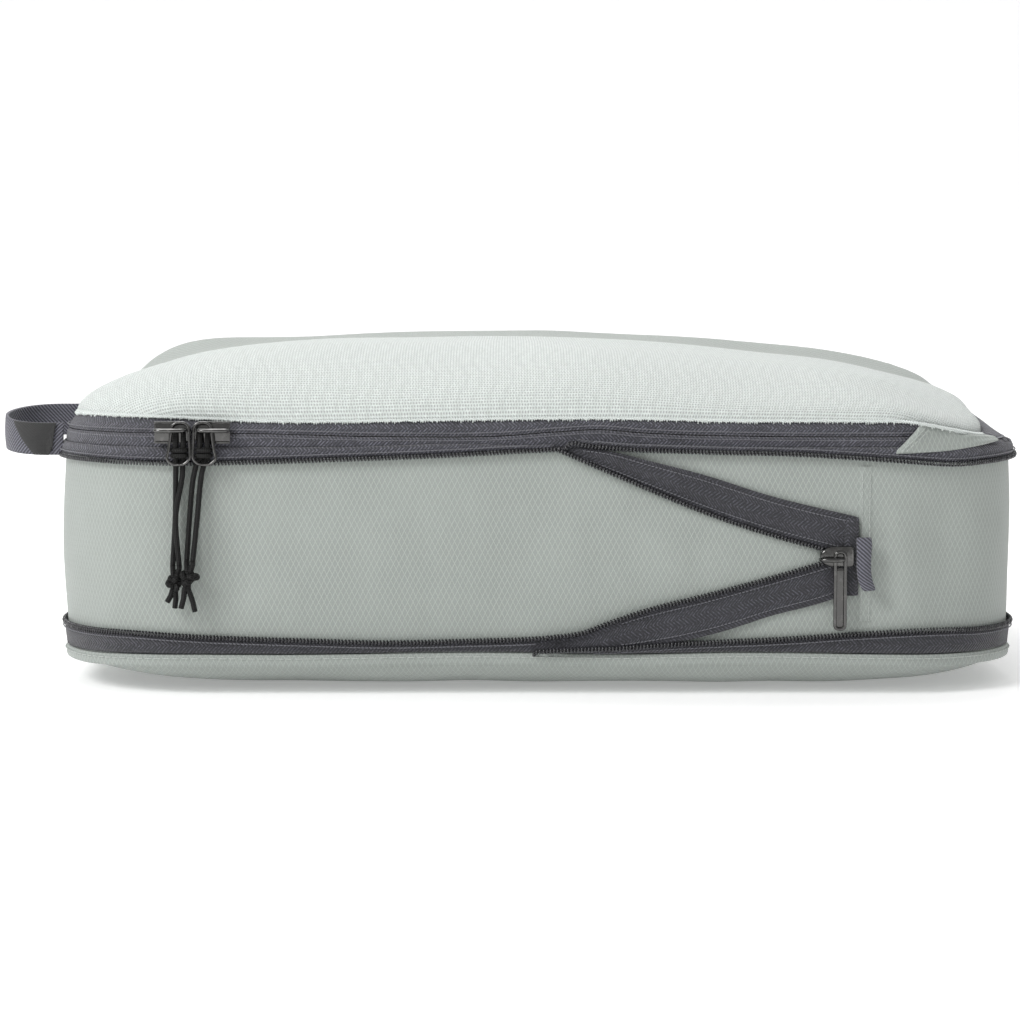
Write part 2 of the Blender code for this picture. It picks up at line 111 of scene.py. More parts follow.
LOWER_FOOT = [
    (-0.60, 0.0148), (-0.205, 0.0138), (-0.166, 0.0142), (-0.145, 0.0150), (-0.084, 0.0152), (-0.021, 0.0160),
    (0.0, 0.0158), (0.028, 0.0155), (0.075, 0.0160), (0.115, 0.0155), (0.150, 0.0149), (0.175, 0.0145),
    (0.205, 0.0138), (0.60, 0.0148),
]
V_UPPER_COIL = [
    (0.0060, 0.0896), (0.0200, 0.0835), (0.0380, 0.0757), (0.0577, 0.0675), (0.0800, 0.0597), (0.1080, 0.0519),
]
V_UPPER_EDGE = [
    (0.0060, 0.0893), (0.0219, 0.0891), (0.0400, 0.0850), (0.0577, 0.0805), (0.0850, 0.0720), (0.1150, 0.0648),
]
V_LOWER_COIL = [
    (0.0037, 0.0212), (0.0158, 0.0229), (0.0244, 0.0261), (0.0345, 0.0297), (0.0430, 0.0322), (0.0552, 0.0352),
    (0.0800, 0.0418), (0.1061, 0.0494),
]
V_LOWER_EDGE = [
    (0.0037, 0.0160), (0.0362, 0.0175), (0.0506, 0.0197), (0.0653, 0.0232), (0.0839, 0.0292), (0.1022, 0.0340),
    (0.1120, 0.0375),
]
MAIN_GAP = [
    (-0.60, 0.0945), (-0.205, 0.0945), (-0.140, 0.0949), (-0.107, 0.0948), (-0.050, 0.0936), (-0.014, 0.0939),
    (0.008, 0.0955), (0.022, 0.0962), (0.036, 0.0951), (0.079, 0.0938), (0.129, 0.0936), (0.205, 0.0945),
    (0.60, 0.0945),
]
MESH_EDGE = [
    (-0.60, 0.0996), (-0.205, 0.1000), (-0.166, 0.1008), (-0.132, 0.1003), (-0.100, 0.0990), (-0.040, 0.0994),
    (0.0, 0.1000), (0.030, 0.1000), (0.072, 0.0991), (0.110, 0.0990), (0.134, 0.0984), (0.150, 0.0956),
    (0.166, 0.0932), (0.182, 0.0928), (0.205, 0.0948), (0.24, 0.0985), (0.30, 0.0996), (0.60, 0.0996),
]


def height(keys):
    """A smooth function of the distance along the outline through its (x, z) key points."""
    xs = [x for x, z in keys]
    zs = [z for x, z in keys]
    slopes = np.gradient(zs, xs)

    def at(s):
        if s <= xs[0]:
            return zs[0]
        if s >= xs[-1]:
            return zs[-1]
        i = int(np.searchsorted(xs, s)) - 1
        i = max(0, min(i, len(xs) - 2))
        run = xs[i + 1] - xs[i]
        t = (s - xs[i]) / run
        a = (2 * t**3 - 3 * t**2 + 1) * zs[i] + (t**3 - 2 * t**2 + t) * run * slopes[i]
        return a + (3 * t**2 - 2 * t**3) * zs[i + 1] + (t**3 - t**2) * run * slopes[i + 1]

    return at


def both_runs(right, left):
    """One function for a ring that starts right of the middle, goes round anticlockwise and ends left of it."""
    right_at, left_at = height(right), height(left)
    return lambda s: right_at(s) if s < PERIMETER / 2 else left_at(s - PERIMETER)


def centred(s):
    """The same place on the outline, as a distance from -PERIMETER / 2 to PERIMETER / 2."""
    return (s + PERIMETER / 2) % PERIMETER - PERIMETER / 2


def round_front(keys):
    at = height(keys)
    return lambda s: at(centred(s))


upper_coil_z = both_runs(UPPER_COIL_RIGHT, UPPER_COIL_LEFT)
lower_coil_z = both_runs(LOWER_COIL_RIGHT, LOWER_COIL_LEFT)
lower_foot_z = round_front(LOWER_FOOT)
main_gap_z = round_front(MAIN_GAP)
mesh_edge_z = round_front(MESH_EDGE)
v_upper_coil_z = height(V_UPPER_COIL)
v_upper_edge_z = height(V_UPPER_EDGE)
v_lower_coil_z = height(V_LOWER_COIL)
v_lower_edge_z = height(V_LOWER_EDGE)


def outline(s, out=0.0, scale=1.0):
    """The point s metres anticlockwise along the outline from the middle of the front, moved outwards."""
    s %= PERIMETER
    side = [QUARTER, 2 * STRAIGHT_Y, QUARTER]
    runs = [STRAIGHT_X, *side, 2 * STRAIGHT_X, *side, STRAIGHT_X]
    x, y, heading = 0.0, -HALF_DEPTH, 0.0
    for index, run in enumerate(runs):
        step = min(s, run)
        if index % 2:
            turn = step / CORNER_RADIUS
            x += CORNER_RADIUS * (math.sin(heading + turn) - math.sin(heading))
            y += CORNER_RADIUS * (math.cos(heading) - math.cos(heading + turn))
            heading += turn
        else:
            x += step * math.cos(heading)
            y += step * math.sin(heading)
        s -= step
        if s <= 0:
            break
    return x * scale + out * math.sin(heading), y * scale - out * math.cos(heading)


def place(s, out, z):
    x, y = outline(s, out)
    return Vector((x, y, z))


def front(x, out, z):
    """A point in front of the flat front."""
    return Vector((x, -HALF_DEPTH - out, z))


def clamp(value):
    return min(1.0, max(0.0, value))


def wobble(s, z, size, seed):
    """Smooth seeded noise from -1 to 1 along the outline."""
    x, y = outline(s)
    return noise.noise(Vector((x / size + seed, y / size, z / size)))


# ---------------------------------------------------------------------------------------------- materials


class Term:
    """A node's output. Arithmetic with it adds math nodes to the look's tree."""

    def __init__(self, look, socket):
        self.look = look
        self.socket = socket

    def __add__(self, other):
        return self.look.math("ADD", self, other)

    def __sub__(self, other):
        return self.look.math("SUBTRACT", self, other)

    def __mul__(self, other):
        return self.look.math("MULTIPLY", self, other)

    def __truediv__(self, other):
        return self.look.math("DIVIDE", self, other)


class Look:
    """A material being put together."""

    def __init__(self, name, colour, roughness, metallic=0.0, sheen=0.0):
        self.material = bpy.data.materials.new(name)
        self.material.use_nodes = True
        self.tree = self.material.node_tree
        self.shader = self.tree.nodes["Principled BSDF"]
        self.colour = colour
        self.set("Base Color", colour)
        self.set("Roughness", roughness)
        self.set("Metallic", metallic)
        self.set("Sheen Weight", sheen)
        self.material.diffuse_color = (*colour, 1.0)

    def feed(self, socket, value):
        """Links a term to a socket, or sets the socket to a number or colour."""
        if isinstance(value, Term):
            self.tree.links.new(value.socket, socket)
        else:
            socket.default_value = (*value, 1.0) if isinstance(value, tuple) else value

    def set(self, socket_name, value):
        self.feed(self.shader.inputs[socket_name], value)

    def node(self, kind, inputs=(), **settings):
        """A new node with its inputs, given as (name or index, value)."""
        made = self.tree.nodes.new(kind)
        for key, value in settings.items():
            setattr(made, key, value)
        for key, value in inputs:
            self.feed(made.inputs[key], value)
        return made

    def math(self, operation, *terms):
        return Term(self, self.node("ShaderNodeMath", enumerate(terms), operation=operation).outputs[0])

    def uv(self):
        """U along the piece and V across it, in metres."""
        uv = Term(self, self.node("ShaderNodeUVMap", uv_map="UVMap").outputs[0])
        split = self.node("ShaderNodeSeparateXYZ", [(0, uv)])
        return Term(self, split.outputs[0]), Term(self, split.outputs[1])

    def noise(self, scale, detail=2.0):
        spot = Term(self, self.node("ShaderNodeTexCoord").outputs["Object"])
        inputs = [("Scale", scale), ("Detail", detail), ("Vector", spot)]
        return Term(self, self.node("ShaderNodeTexNoise", inputs).outputs[0])

    def wave(self, value, length):
        return self.math("SINE", value * (2 * math.pi / length))

    def stretch(self, value, low, high, to_low=0.0, to_high=1.0, kind="LINEAR"):
        inputs = [("From Min", low), ("From Max", high), ("To Min", to_low), ("To Max", to_high), ("Value", value)]
        return Term(self, self.node("ShaderNodeMapRange", inputs, interpolation_type=kind).outputs[0])

    def ridge(self, value, start):
        """1 where value is near a whole number, falling to 0 at start, which is from 0 to 0.5."""
        folded = self.math("ABSOLUTE", self.math("FRACT", value) - 0.5)
        return self.stretch(folded, start, 0.5, kind="SMOOTHSTEP")

    def mix(self, factor, a, b):
        made = self.node("ShaderNodeMix", data_type="RGBA")
        for index, value in ((0, factor), (6, a), (7, b)):
            self.feed(made.inputs[index], value)
        return Term(self, made.outputs[2])

    def shades(self, factor, dark, light):
        """Between two shades of the look's own colour."""
        return self.mix(factor, shade(self.colour, dark), shade(self.colour, light))

    def patches(self, scale, detail, spread, dark, light):
        """The look's colour in soft patches of two shades."""
        patchy = self.stretch(self.noise(scale, detail), 0.5 - spread, 0.5 + spread)
        return self.shades(patchy, dark, light)

    def bump(self, value, distance, strength=1.0):
        inputs = [("Distance", distance), ("Strength", strength), ("Height", value)]
        self.set("Normal", Term(self, self.node("ShaderNodeBump", inputs).outputs[0]))


def shade(colour, factor):
    return tuple(min(1.0, c * factor) for c in colour)


def ripstop(name, colour):
    """Fine ripstop: tall diamonds of slightly raised, lighter threads over a plain weave."""
    look = Look(name, colour, 0.62, sheen=0.15)
    diamond_width, diamond_height, yarn, line_start = 0.0020, 0.0040, 0.00042, 0.37
    u, v = look.uv()
    along, across = u / diamond_width, v / diamond_height
    rising, falling = look.ridge(along + across, line_start), look.ridge(along - across, line_start)
    lines = look.math("MAXIMUM", rising, falling)
    weave = look.wave(u, yarn) * look.wave(v, yarn)
    cloth = look.patches(38.0, 3.0, 0.2, 0.955, 1.03)
    look.set("Base Color", look.mix(lines * 0.75, cloth, shade(colour, 1.52)))
    look.bump(lines + weave * 0.35, 0.00016, 0.8)
    return look.material


def knit_mesh(name, colour):
    """Warp-knit mesh: wavy columns of loops with small staggered holes, painted dark as painted shade of the inside
    seen through them.
    """
    look = Look(name, colour, 0.72, sheen=0.25)
    loop_width, loop_height, yarn, wale_width, wale_bend = 0.00105, 0.00130, 0.00050, 0.0056, 0.034
    u, v = look.uv()
    row = v / loop_height
    column = u / loop_width + look.wave(row, 2.0) * 0.16
    shift = look.math("MODULO", look.math("FLOOR", row), 2.0) * 0.5
    x = look.math("FRACT", column + shift) - 0.5
    y = (look.math("FRACT", row) - 0.5) * 0.85
    hole_and_shade = look.stretch(look.math("SQRT", x * x + y * y), 0.40, 0.15)
    wale = look.ridge(u / wale_width + look.wave(v, wale_bend) * 0.35, 0.20)
    # Painted shade: each hole is painted at half the mesh's colour for the shaded inside seen through it.
    knit = look.mix(hole_and_shade * 0.85, look.patches(900.0, 1.0, 0.15, 0.93, 1.07), shade(colour, 0.50))
    look.set("Base Color", look.mix(wale * 0.22, knit, shade(colour, 0.70)))
    look.bump(look.wave(v, yarn) * 0.15 - hole_and_shade, 0.00028, 0.8)
    return look.material


def herringbone(name, colour):
    """Zip tape: herringbone ribs that change direction across the tape, with light flecks."""
    look = Look(name, colour, 0.78, sheen=0.2)
    fold_width, rib_pitch, yarn = 0.0060, 0.00135, 0.00048
    u, v = look.uv()
    fold = look.math("ABSOLUTE", look.math("FRACT", v / fold_width) - 0.5)
    rib = look.ridge(u / rib_pitch + fold * (fold_width / rib_pitch), 0.10)
    flecks = look.stretch(look.noise(1100.0, 1.0), 0.44, 0.62)
    cloth = look.patches(60.0, 2.0, 0.2, 0.70, 1.10)
    look.set("Base Color", look.mix(rib * (flecks * 0.80 + 0.20), cloth, shade(colour, 4.0)))
    look.bump(rib + look.wave(v, yarn) * 0.3, 0.00022, 0.9)
    return look.material


def twill(name, colour, pitch, contrast, roughness=0.7):
    """A close diagonal weave, for webbing, bindings and the woven label."""
    look = Look(name, colour, roughness, sheen=0.15)
    u, v = look.uv()
    rib = look.ridge((u + v) / pitch, 0.10)
    cloth = look.patches(400.0, 2.0, 0.15, 0.85, 1.12)
    look.set("Base Color", look.mix(rib * 0.7, cloth, shade(colour, contrast)))
    look.bump(rib + look.wave(v, pitch * 0.8) * 0.3, pitch * 0.22, 0.8)
    return look.material


def braid(name, colour):
    """Braided cord: strands that cross both ways round it. V is the share of a turn."""
    look = Look(name, colour, 0.50)
    look.set("Specular IOR Level", 0.16)
    pitch, strands_round = 0.00125, 4.0
    u, v = look.uv()
    along, around = u / pitch, v * strands_round
    strands = look.stretch(look.wave(along + around, 1.0) * look.wave(along - around, 1.0), -0.9, 0.9)
    look.set("Base Color", look.shades(strands, 0.4, 2.6))
    look.bump(strands, 0.00022, 0.9)
    return look.material


def nylon(name, colour, roughness):
    """Smooth moulded or extruded nylon with faint variation."""
    look = Look(name, colour, roughness)
    look.set("Specular IOR Level", 0.9)
    fine = look.noise(700.0, 2.0)
    look.set("Base Color", look.shades(look.stretch(fine, 0.3, 0.7), 0.7, 1.5))
    look.set("Roughness", look.stretch(fine, 0.3, 0.7, roughness - 0.08, roughness + 0.1))
    look.bump(fine, 0.00004, 0.4)
    return look.material


def gunmetal(name, colour):
    """Dark plated zinc: glossy, with worn lighter patches and fine scratches."""
    look = Look(name, colour, 0.22, metallic=1.0)
    look.set("Coat Weight", 1.0)
    look.set("Coat Roughness", 0.12)
    wear = look.stretch(look.noise(420.0, 4.0), 0.52, 0.72)
    look.set("Base Color", look.shades(wear * 0.6, 1.0, 2.4))
    look.set("Roughness", look.stretch(look.noise(900.0, 3.0), 0.3, 0.7, 0.14, 0.26))
    look.bump(look.noise(1600.0, 2.0), 0.00003, 0.3)
    return look.material


def thread(name, colour):
    """Sewing thread with its twist."""
    look = Look(name, colour, 0.6, sheen=0.3)
    u, v = look.uv()
    twist = look.ridge(u / 0.0006 + v, 0.1)
    look.set("Base Color", look.shades(twist, 0.75, 1.15))
    look.bump(twist, 0.00005, 0.6)
    return look.material


SAGE = (0.294, 0.321, 0.300)
SLATE = (0.040, 0.040, 0.049)
MAT = {
    "sage_ripstop": ripstop("sage_ripstop_look", SAGE),
    "sage_thread": thread("sage_thread_look", (0.47, 0.50, 0.475)),
    "mint_mesh": knit_mesh("mint_mesh_look", (0.605, 0.645, 0.623)),
    "mint_yarn": thread("mint_yarn_look", (0.70, 0.745, 0.72)),
    "slate_tape": herringbone("slate_tape_look", SLATE),
    # The next look is the slate tape painted darker, as painted shade for the lower flap, the V's tapes and the
    # zip's end patch.
    "painted_shade_tape": herringbone("dark_tape_look", shade(SLATE, 0.55)),
    "slate_thread": thread("slate_thread_look", (0.13, 0.13, 0.15)),
    "binding": twill("binding_look", (0.10, 0.105, 0.12), 0.0009, 1.5),
    "coil_nylon": nylon("coil_nylon_look", (0.008, 0.008, 0.011), 0.22),
    "grey_webbing": twill("grey_webbing_look", (0.034, 0.034, 0.042), 0.0014, 7.0),
    "black_label": twill("black_label_look", (0.014, 0.014, 0.014), 0.0007, 1.7, 0.62),
    "gunmetal": gunmetal("gunmetal_look", (0.055, 0.054, 0.052)),
    "black_cord": braid("black_cord_look", (0.0070, 0.0070, 0.0068)),
}


# ---------------------------------------------------------------------------------------------- mesh helpers


def add_piece(name, verts, faces, uvs, look, nodes=()):
    """uvs holds one (u, v) for each vertex, or for each face's corners in turn."""
    mesh = bpy.data.meshes.new(name)
    mesh.from_pydata([tuple(v) for v in verts], [], faces)
    layer = mesh.uv_layers.new(name="UVMap")
    if len(uvs) == len(verts):
        uvs = [uvs[loop.vertex_index] for loop in mesh.loops]
    layer.data.foreach_set("uv", [c for uv in uvs for c in uv])
    mesh.materials.append(MAT[look])
    mesh.shade_smooth()
    obj = bpy.data.objects.new(name, mesh)
    bpy.context.scene.collection.objects.link(obj)
    if nodes:
        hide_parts(*nodes)
    return obj


def grid(name, rows, look, nodes=(), closed=False):
    """A sheet through rows of (point, (u, v)), one after another along it. closed joins the last to the first."""
    across = len(rows[0])
    verts = [point for row in rows for point, uv in row]
    uvs = [[uv for point, uv in row] for row in rows]
    if closed:
        first, second, last = uvs[0][0][0], uvs[1][0][0], uvs[-1][0][0]
        lap = last + (second - first) - first
        uvs.append([(u + lap, v) for u, v in uvs[0]])
    corners = []
    faces = []
    for i in range(len(uvs) - 1):
        a, b = i * across, (i + 1) % len(rows) * across
        for j in range(across - 1):
            faces.append((a + j, b + j, b + j + 1, a + j + 1))
            corners += [uvs[i][j], uvs[i + 1][j], uvs[i + 1][j + 1], uvs[i][j + 1]]
    return add_piece(name, verts, faces, corners, look, nodes)


def thicken(obj, thickness, offset=-1.0):
    solid = obj.modifiers.new("thickness", "SOLIDIFY")
    solid.thickness = thickness
    solid.offset = offset
    return obj


def soften(obj):
    smooth = obj.modifiers.new("smooth", "SUBSURF")
    smooth.levels = 1
    smooth.render_levels = 1
    return obj


def ride(body, *pieces):
    for piece in pieces:
        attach(piece, body)


def spaced(start, end, step):
    count = max(2, round(abs(end - start) / step))
    return [start + (end - start) * i / count for i in range(count + 1)]


def all_round(step):
    return spaced(0.0, PERIMETER, step)[:-1]


def strip(name, stations, low, high, look, nodes=(), thickness=TAPE, across=5, ruffle=0.0, bow=0.0):
    """A flat strip along the outline. low and high give (out, z) of its two edges at s."""
    rows = []
    for s in stations:
        (out_a, z_a), (out_b, z_b) = low(s), high(s)
        length = math.hypot(out_b - out_a, z_b - z_a)
        row = []
        for j in range(across + 1):
            t = j / across
            z = z_a + (z_b - z_a) * t
            out = out_a + (out_b - out_a) * t + bow * math.sin(math.pi * t) + ruffle * wobble(s, z, 0.012, 3.0)
            row.append((place(s, out, z), (s, length * t)))
        rows.append(row)
    return thicken(grid(name, rows, look, nodes), thickness)


def frames(points, closed=False):
    """Positions, tangents and two turning-free normals along a line of points."""
    p = np.array([tuple(q) for q in points], float)
    if closed:
        t = np.roll(p, -1, 0) - np.roll(p, 1, 0)
    else:
        t = np.gradient(p, axis=0)
    t /= np.maximum(np.linalg.norm(t, axis=1), 1e-12)[:, None]
    n = np.zeros_like(p)
    first = np.cross(t[0], (0.0, 0.0, 1.0))
    if np.linalg.norm(first) < 0.1:
        first = np.cross(t[0], (1.0, 0.0, 0.0))
    n[0] = first / np.linalg.norm(first)
    for i in range(1, len(p)):
        side = n[i - 1] - t[i] * np.dot(n[i - 1], t[i])
        n[i] = side / max(np.linalg.norm(side), 1e-12)
    return p, t, n, np.cross(t, n)


def tube_parts(points, radius, sides=6, closed=False, flat=1.0):
    """Vertices, faces and corner UVs of a tube. V goes once from 0 to 1 round it."""
    p, _, n, b = frames(points, closed)
    turn = np.arange(sides) * 2 * math.pi / sides
    ring = n[:, None, :] * np.cos(turn)[None, :, None] + b[:, None, :] * np.sin(turn)[None, :, None] * flat
    verts = (p[:, None, :] + ring * radius).reshape(-1, 3)
    steps = np.linalg.norm(np.diff(p, axis=0, append=p[:1]), axis=1)
    u = np.concatenate([[0.0], np.cumsum(steps)])
    faces, uvs = [], []
    count = len(p)
    for i in range(count if closed else count - 1):
        k = (i + 1) % count
        for j in range(sides):
            m = (j + 1) % sides
            faces.append((i * sides + j, i * sides + m, k * sides + m, k * sides + j))
            v0, v1 = j / sides, (j + 1) / sides
            uvs += [(u[i], v0), (u[i], v1), (u[i + 1], v1), (u[i + 1], v0)]
    if not closed:
        faces.append(tuple(range(sides))[::-1])
        faces.append(tuple((count - 1) * sides + j for j in range(sides)))
        uvs += [(0.0, 0.0)] * (2 * sides)
    return verts, faces, uvs


def tubes(name, lines, radius, look, nodes=(), sides=6, closed=False):
    """One piece made of many tubes."""
    verts, faces, uvs = [], [], []
    for line in lines:
        v, f, u = tube_parts(line, radius, sides, closed)
        shift = len(verts)
        verts.extend(v)
        faces.extend(tuple(i + shift for i in face) for face in f)
        uvs.extend(u)
    return add_piece(name, verts, faces, uvs, look, nodes)


def resampled(points, spacing):
    p = np.array([tuple(q) for q in points], float)
    run = np.concatenate([[0.0], np.cumsum(np.linalg.norm(np.diff(p, axis=0), axis=1))])
    count = max(2, int(round(run[-1] / spacing)))
    at = np.linspace(0.0, run[-1], count + 1)
    return np.stack([np.interp(at, run, p[:, k]) for k in range(3)], axis=1)


def coil(name, points, nodes=(), radius=0.00080):
    """The zip's coil: a fine spring along a line, flattened towards the cloth."""
    p, along, _, _ = frames(resampled(points, COIL_PITCH / COIL_TURN_POINTS))
    side = np.cross(along, (0.0, 0.0, 1.0))
    side /= np.linalg.norm(side, axis=1)[:, None]
    rise = np.cross(side, along)
    phase = np.arange(len(p)) * 2 * math.pi / COIL_TURN_POINTS
    spring = p + side * (np.cos(phase) * radius * COIL_FLATNESS)[:, None] + rise * (np.sin(phase) * radius)[:, None]
    return add_piece(name, *tube_parts(spring, COIL_WIRE, 5), "coil_nylon", nodes)


def stitches(name, run, at, look="slate_thread", length=0.0009, gap=0.0005):
    """Short raised stitches along at(s), which gives (out, z)."""
    lines = []
    s, end = run
    while s + length < end:
        line = []
        for share, lift in STITCH:
            here = s + length * share
            out, z = at(here)
            line.append(place(here, out + STITCH_HEIGHT * (lift - 0.5), z))
        lines.append(line)
        s += length + gap
    return tubes(name, lines, STITCH_RADIUS, look, sides=5)


def line_stitches(
    name, points, look="slate_thread", length=0.0024, gap=0.0007, radius=STITCH_RADIUS, proud=STITCH_HEIGHT,
):
    """Stitches along any line of points, standing out towards the front."""
    spacing = 0.0002
    fine = resampled(points, spacing)
    run = int(length / spacing)
    lines = []
    for i in range(0, len(fine) - run, int((length + gap) / spacing)):
        line = []
        for share, lift in STITCH:
            point = fine[i + int(run * share)].copy()
            point[1] -= proud * (lift - 0.5)
            line.append(point)
        lines.append(line)
    return tubes(name, lines, radius, look, sides=5)


def flatten(*pieces):
    """These pieces are sewn to the gusset, which crumples as the expansion zip closes. Here each rides on the base
    with a mesh of its own.
    """
    for piece in pieces:
        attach(piece, "base")
        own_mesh(piece)


# ---------------------------------------------------------------------------------------------- gusset and base

RING_START = 0.0125
RING_END = PERIMETER + 0.0076
FOLDS = [
    # Soft folds of the gusset: (x, z) of both ends, half width, height outwards.
    ((-0.1120, 0.080), (-0.1080, 0.036), 0.0050, -0.0012),
    ((-0.0960, 0.082), (-0.0900, 0.030), 0.0080, 0.0007),
    ((-0.0350, 0.078), (-0.0650, 0.030), 0.0120, 0.0006),
    ((0.0000, 0.070), (-0.0150, 0.034), 0.0100, -0.0006),
    ((0.0300, 0.066), (0.0500, 0.048), 0.0060, 0.0007),
    ((0.0600, 0.058), (0.0850, 0.050), 0.0040, -0.0006),
    ((0.0900, 0.084), (0.1080, 0.070), 0.0045, -0.0006),
    ((0.1225, 0.064), (0.1265, 0.034), 0.0045, -0.0018),
    ((0.1450, 0.066), (0.1480, 0.040), 0.0150, -0.0044),
    ((-0.1530, 0.080), (-0.1560, 0.030), 0.0070, 0.0008),
]


def fold_out(s, z):
    """How far the folds move the gusset outwards at a point of its front."""
    out = 0.0
    x = centred(s)
    for (xa, za), (xb, zb), width, size in FOLDS:
        dx, dz = xb - xa, zb - za
        t = clamp(((x - xa) * dx + (z - za) * dz) / (dx * dx + dz * dz))
        away = math.hypot(x - xa - t * dx, z - za - t * dz) / width
        out += size * math.exp(-away * away)
    return out


def gusset_out(s, z):
    soft = math.sin(math.pi * clamp((z - GUSSET_LOW) / (GUSSET_HIGH - GUSSET_LOW)))
    x, y = outline(s)
    out = 0.0012 + fold_out(s, z)
    out += 0.0010 * noise.noise(Vector((x / 0.035, y / 0.035, z / 0.090)))
    out += 0.00035 * noise.noise(Vector((x / 0.010, y / 0.010, z / 0.022 + 5.0)))
    return out * soft


def gusset():
    heights = spaced(GUSSET_LOW, GUSSET_HIGH, 0.0030)
    rows = [[(place(s, gusset_out(s, z), z), (s, z)) for z in heights] for s in all_round(0.0028)]
    wall = grid("gusset_fabric", rows, "sage_ripstop", ["gusset_wall"], closed=True)
    flatten(soften(thicken(wall, CLOTH)))


def side_seam():
    """The double-stitched overlap where the gusset's two ends meet."""
    heights = spaced(0.0270, 0.0830, 0.003)

    def upright(x, lift):
        return [place(x, gusset_out(x, z) + lift, z) for z in heights]

    shape = [(0.1152, -0.0001), (0.1156, 0.0004), (0.1172, 0.0003), (0.1194, 0.0003), (0.1202, -0.0001)]
    rows = [[(point, (x, point.z)) for point in upright(x, lift)] for x, lift in shape]
    flatten(soften(grid("gusset_side_seam_band", rows, "sage_ripstop", ["gusset_side_seam"])))
    for key, x, lift in (("a", 0.1162, 0.0004), ("b", 0.1190, 0.0003)):
        name = "gusset_side_seam_stitches_" + key
        flatten(line_stitches(name, upright(x, lift), "sage_thread", radius=0.00017))


def belly_height(f):
    share = max(0.0, f - 0.66) / 0.34
    return SEAM_LOW * (1 - math.sqrt(max(0.0, 1 - share**2)))


def bottom():
    """The belly: flat where it rests, and rising in a soft roll to the seam."""
    scales = [0.0, 0.07, 0.20, 0.34, 0.50, 0.62, 0.70, 0.77, 0.83, 0.88, 0.92, 0.95, 0.97]
    scales += [0.985, 0.993, 0.998, 1.0]
    rows = []
    for s in all_round(0.0060):
        row = []
        for f in scales:
            x, y = outline(s, 0.0, f)
            rough = clamp((f - 0.64) / 0.2) * min(1.0, (1.0 - f) / 0.04 + 0.15)
            z = belly_height(f) + rough * 0.0009 * (noise.noise(Vector((x / 0.028, y / 0.028, 1.7))) - 0.2)
            edge_x, edge_y = outline(s, 0.0004 if f > 0.98 else 0.0, f)
            row.append((Vector((edge_x, edge_y, max(0.0, z))), (x, y * 1.02)))
        rows.append(row)
    belly = grid("bottom_fabric", rows, "sage_ripstop", ["bottom_panel"], closed=True)
    ride("base", soften(thicken(belly, CLOTH)))


def lip_z(s):
    return lower_foot_z(s) - 0.0004


def bottom_edge():
    """The folded and topstitched lip of the belly fabric, under the lower zip tape."""
    profile = [(-0.0018, -0.0047), (0.0009, -0.0045), (0.0012, -0.0038), (0.0014, -0.0024), (0.0014, -0.0010)]
    profile += [(0.0010, -0.0001), (0.0002, 0.0000)]
    rows = [[(place(s, out, lip_z(s) + dz), (s, -dz)) for out, dz in profile] for s in all_round(0.004)]
    lip = grid("bottom_edge_lip", rows, "sage_ripstop", ["bottom_edge_fold"], closed=True)

    def seam(s):
        return 0.0015, lip_z(s) - 0.0014

    row = stitches("bottom_edge_stitches", (0.0, PERIMETER), seam, "sage_thread", 0.0026, 0.0008)
    ride("base", soften(lip), row)


def binding(name, z, body, node):
    """The dark binding that covers a seam inside."""
    profile = [(-0.0014, -0.0022), (-0.0024, -0.0024), (-0.0030, 0.0000), (-0.0024, 0.0024), (-0.0014, 0.0022)]
    rows = []
    for s in all_round(0.006):
        rows.append([(place(s, out, z + dz), (s, 0.001 * j)) for j, (out, dz) in enumerate(profile)])
    ride(body, grid(name, rows, "binding", [node], closed=True))


def lower_flap():
    """The lower tape of the expansion zip stands on the seam and leans outwards, its coil along the top."""
    stations = spaced(0.0020, PERIMETER + 0.0080, 0.0025)

    def in_front(s):
        """The run that starts under the V lies over the V's lower tape."""
        return 0.0019 * math.exp(-((s / 0.055) ** 2))

    def low(s):
        return 0.0010 + in_front(s) * 0.6, lower_foot_z(s)

    def high(s):
        return 0.0017 + in_front(s), lower_coil_z(s) - 0.0004

    def seam(s):
        return 0.0022, lower_coil_z(s) - 0.0018

    # Painted shade: this tape uses the darker copy of the slate tape.
    tape = strip("lower_flap", stations, low, high, "painted_shade_tape", ["lower_flap_tape"], TAPE, 4, 0.0003)
    line = [front(-0.0010, 0.0020, 0.0148), front(-0.0017, 0.0026, 0.0153), front(-0.0008, 0.0032, 0.0160)]
    line += [place(s, 0.0019 + in_front(s), lower_coil_z(s)) for s in spaced(0.0010, PERIMETER + 0.0040, 0.0010)]
    spring = coil("lower_flap_spring", line, ["lower_flap_coil"])
    ride("base", tape, spring, stitches("lower_flap_stitches", (0.02, PERIMETER), seam))


def sloped_tape(name, xs, coil_z, edge_z, node, dip):
    """A tape of the V: its coil edge lies flat on the gusset and its other edge is sewn under the seam."""
    rows = []
    run = 0.0
    before = None
    for x in xs:
        z_a, z_b = coil_z(x), edge_z(x)
        here = (x, z_a)
        run += math.dist(here, before) if before else 0.0
        before = here
        row = []
        for j in range(9):
            t = j / 8
            z = z_a + (z_b - z_a) * t
            out = 0.0023 - dip * math.sin(math.pi * min(1.0, t * 1.6)) + 0.0002 * wobble(x, z, 0.010, 9.0)
            out -= 0.0012 * max(0.0, 1 - (x - 0.004) / 0.010)
            row.append((front(x, max(out, gusset_out(x, z) + 0.0010), z), (run, abs(z_b - z_a) * t)))
        rows.append(row[::-1] if z_b < z_a else row)
    # Painted shade: the V's tapes use the darker copy of the slate tape.
    return thicken(soften(grid(name, rows, "painted_shade_tape", [node])), TAPE)


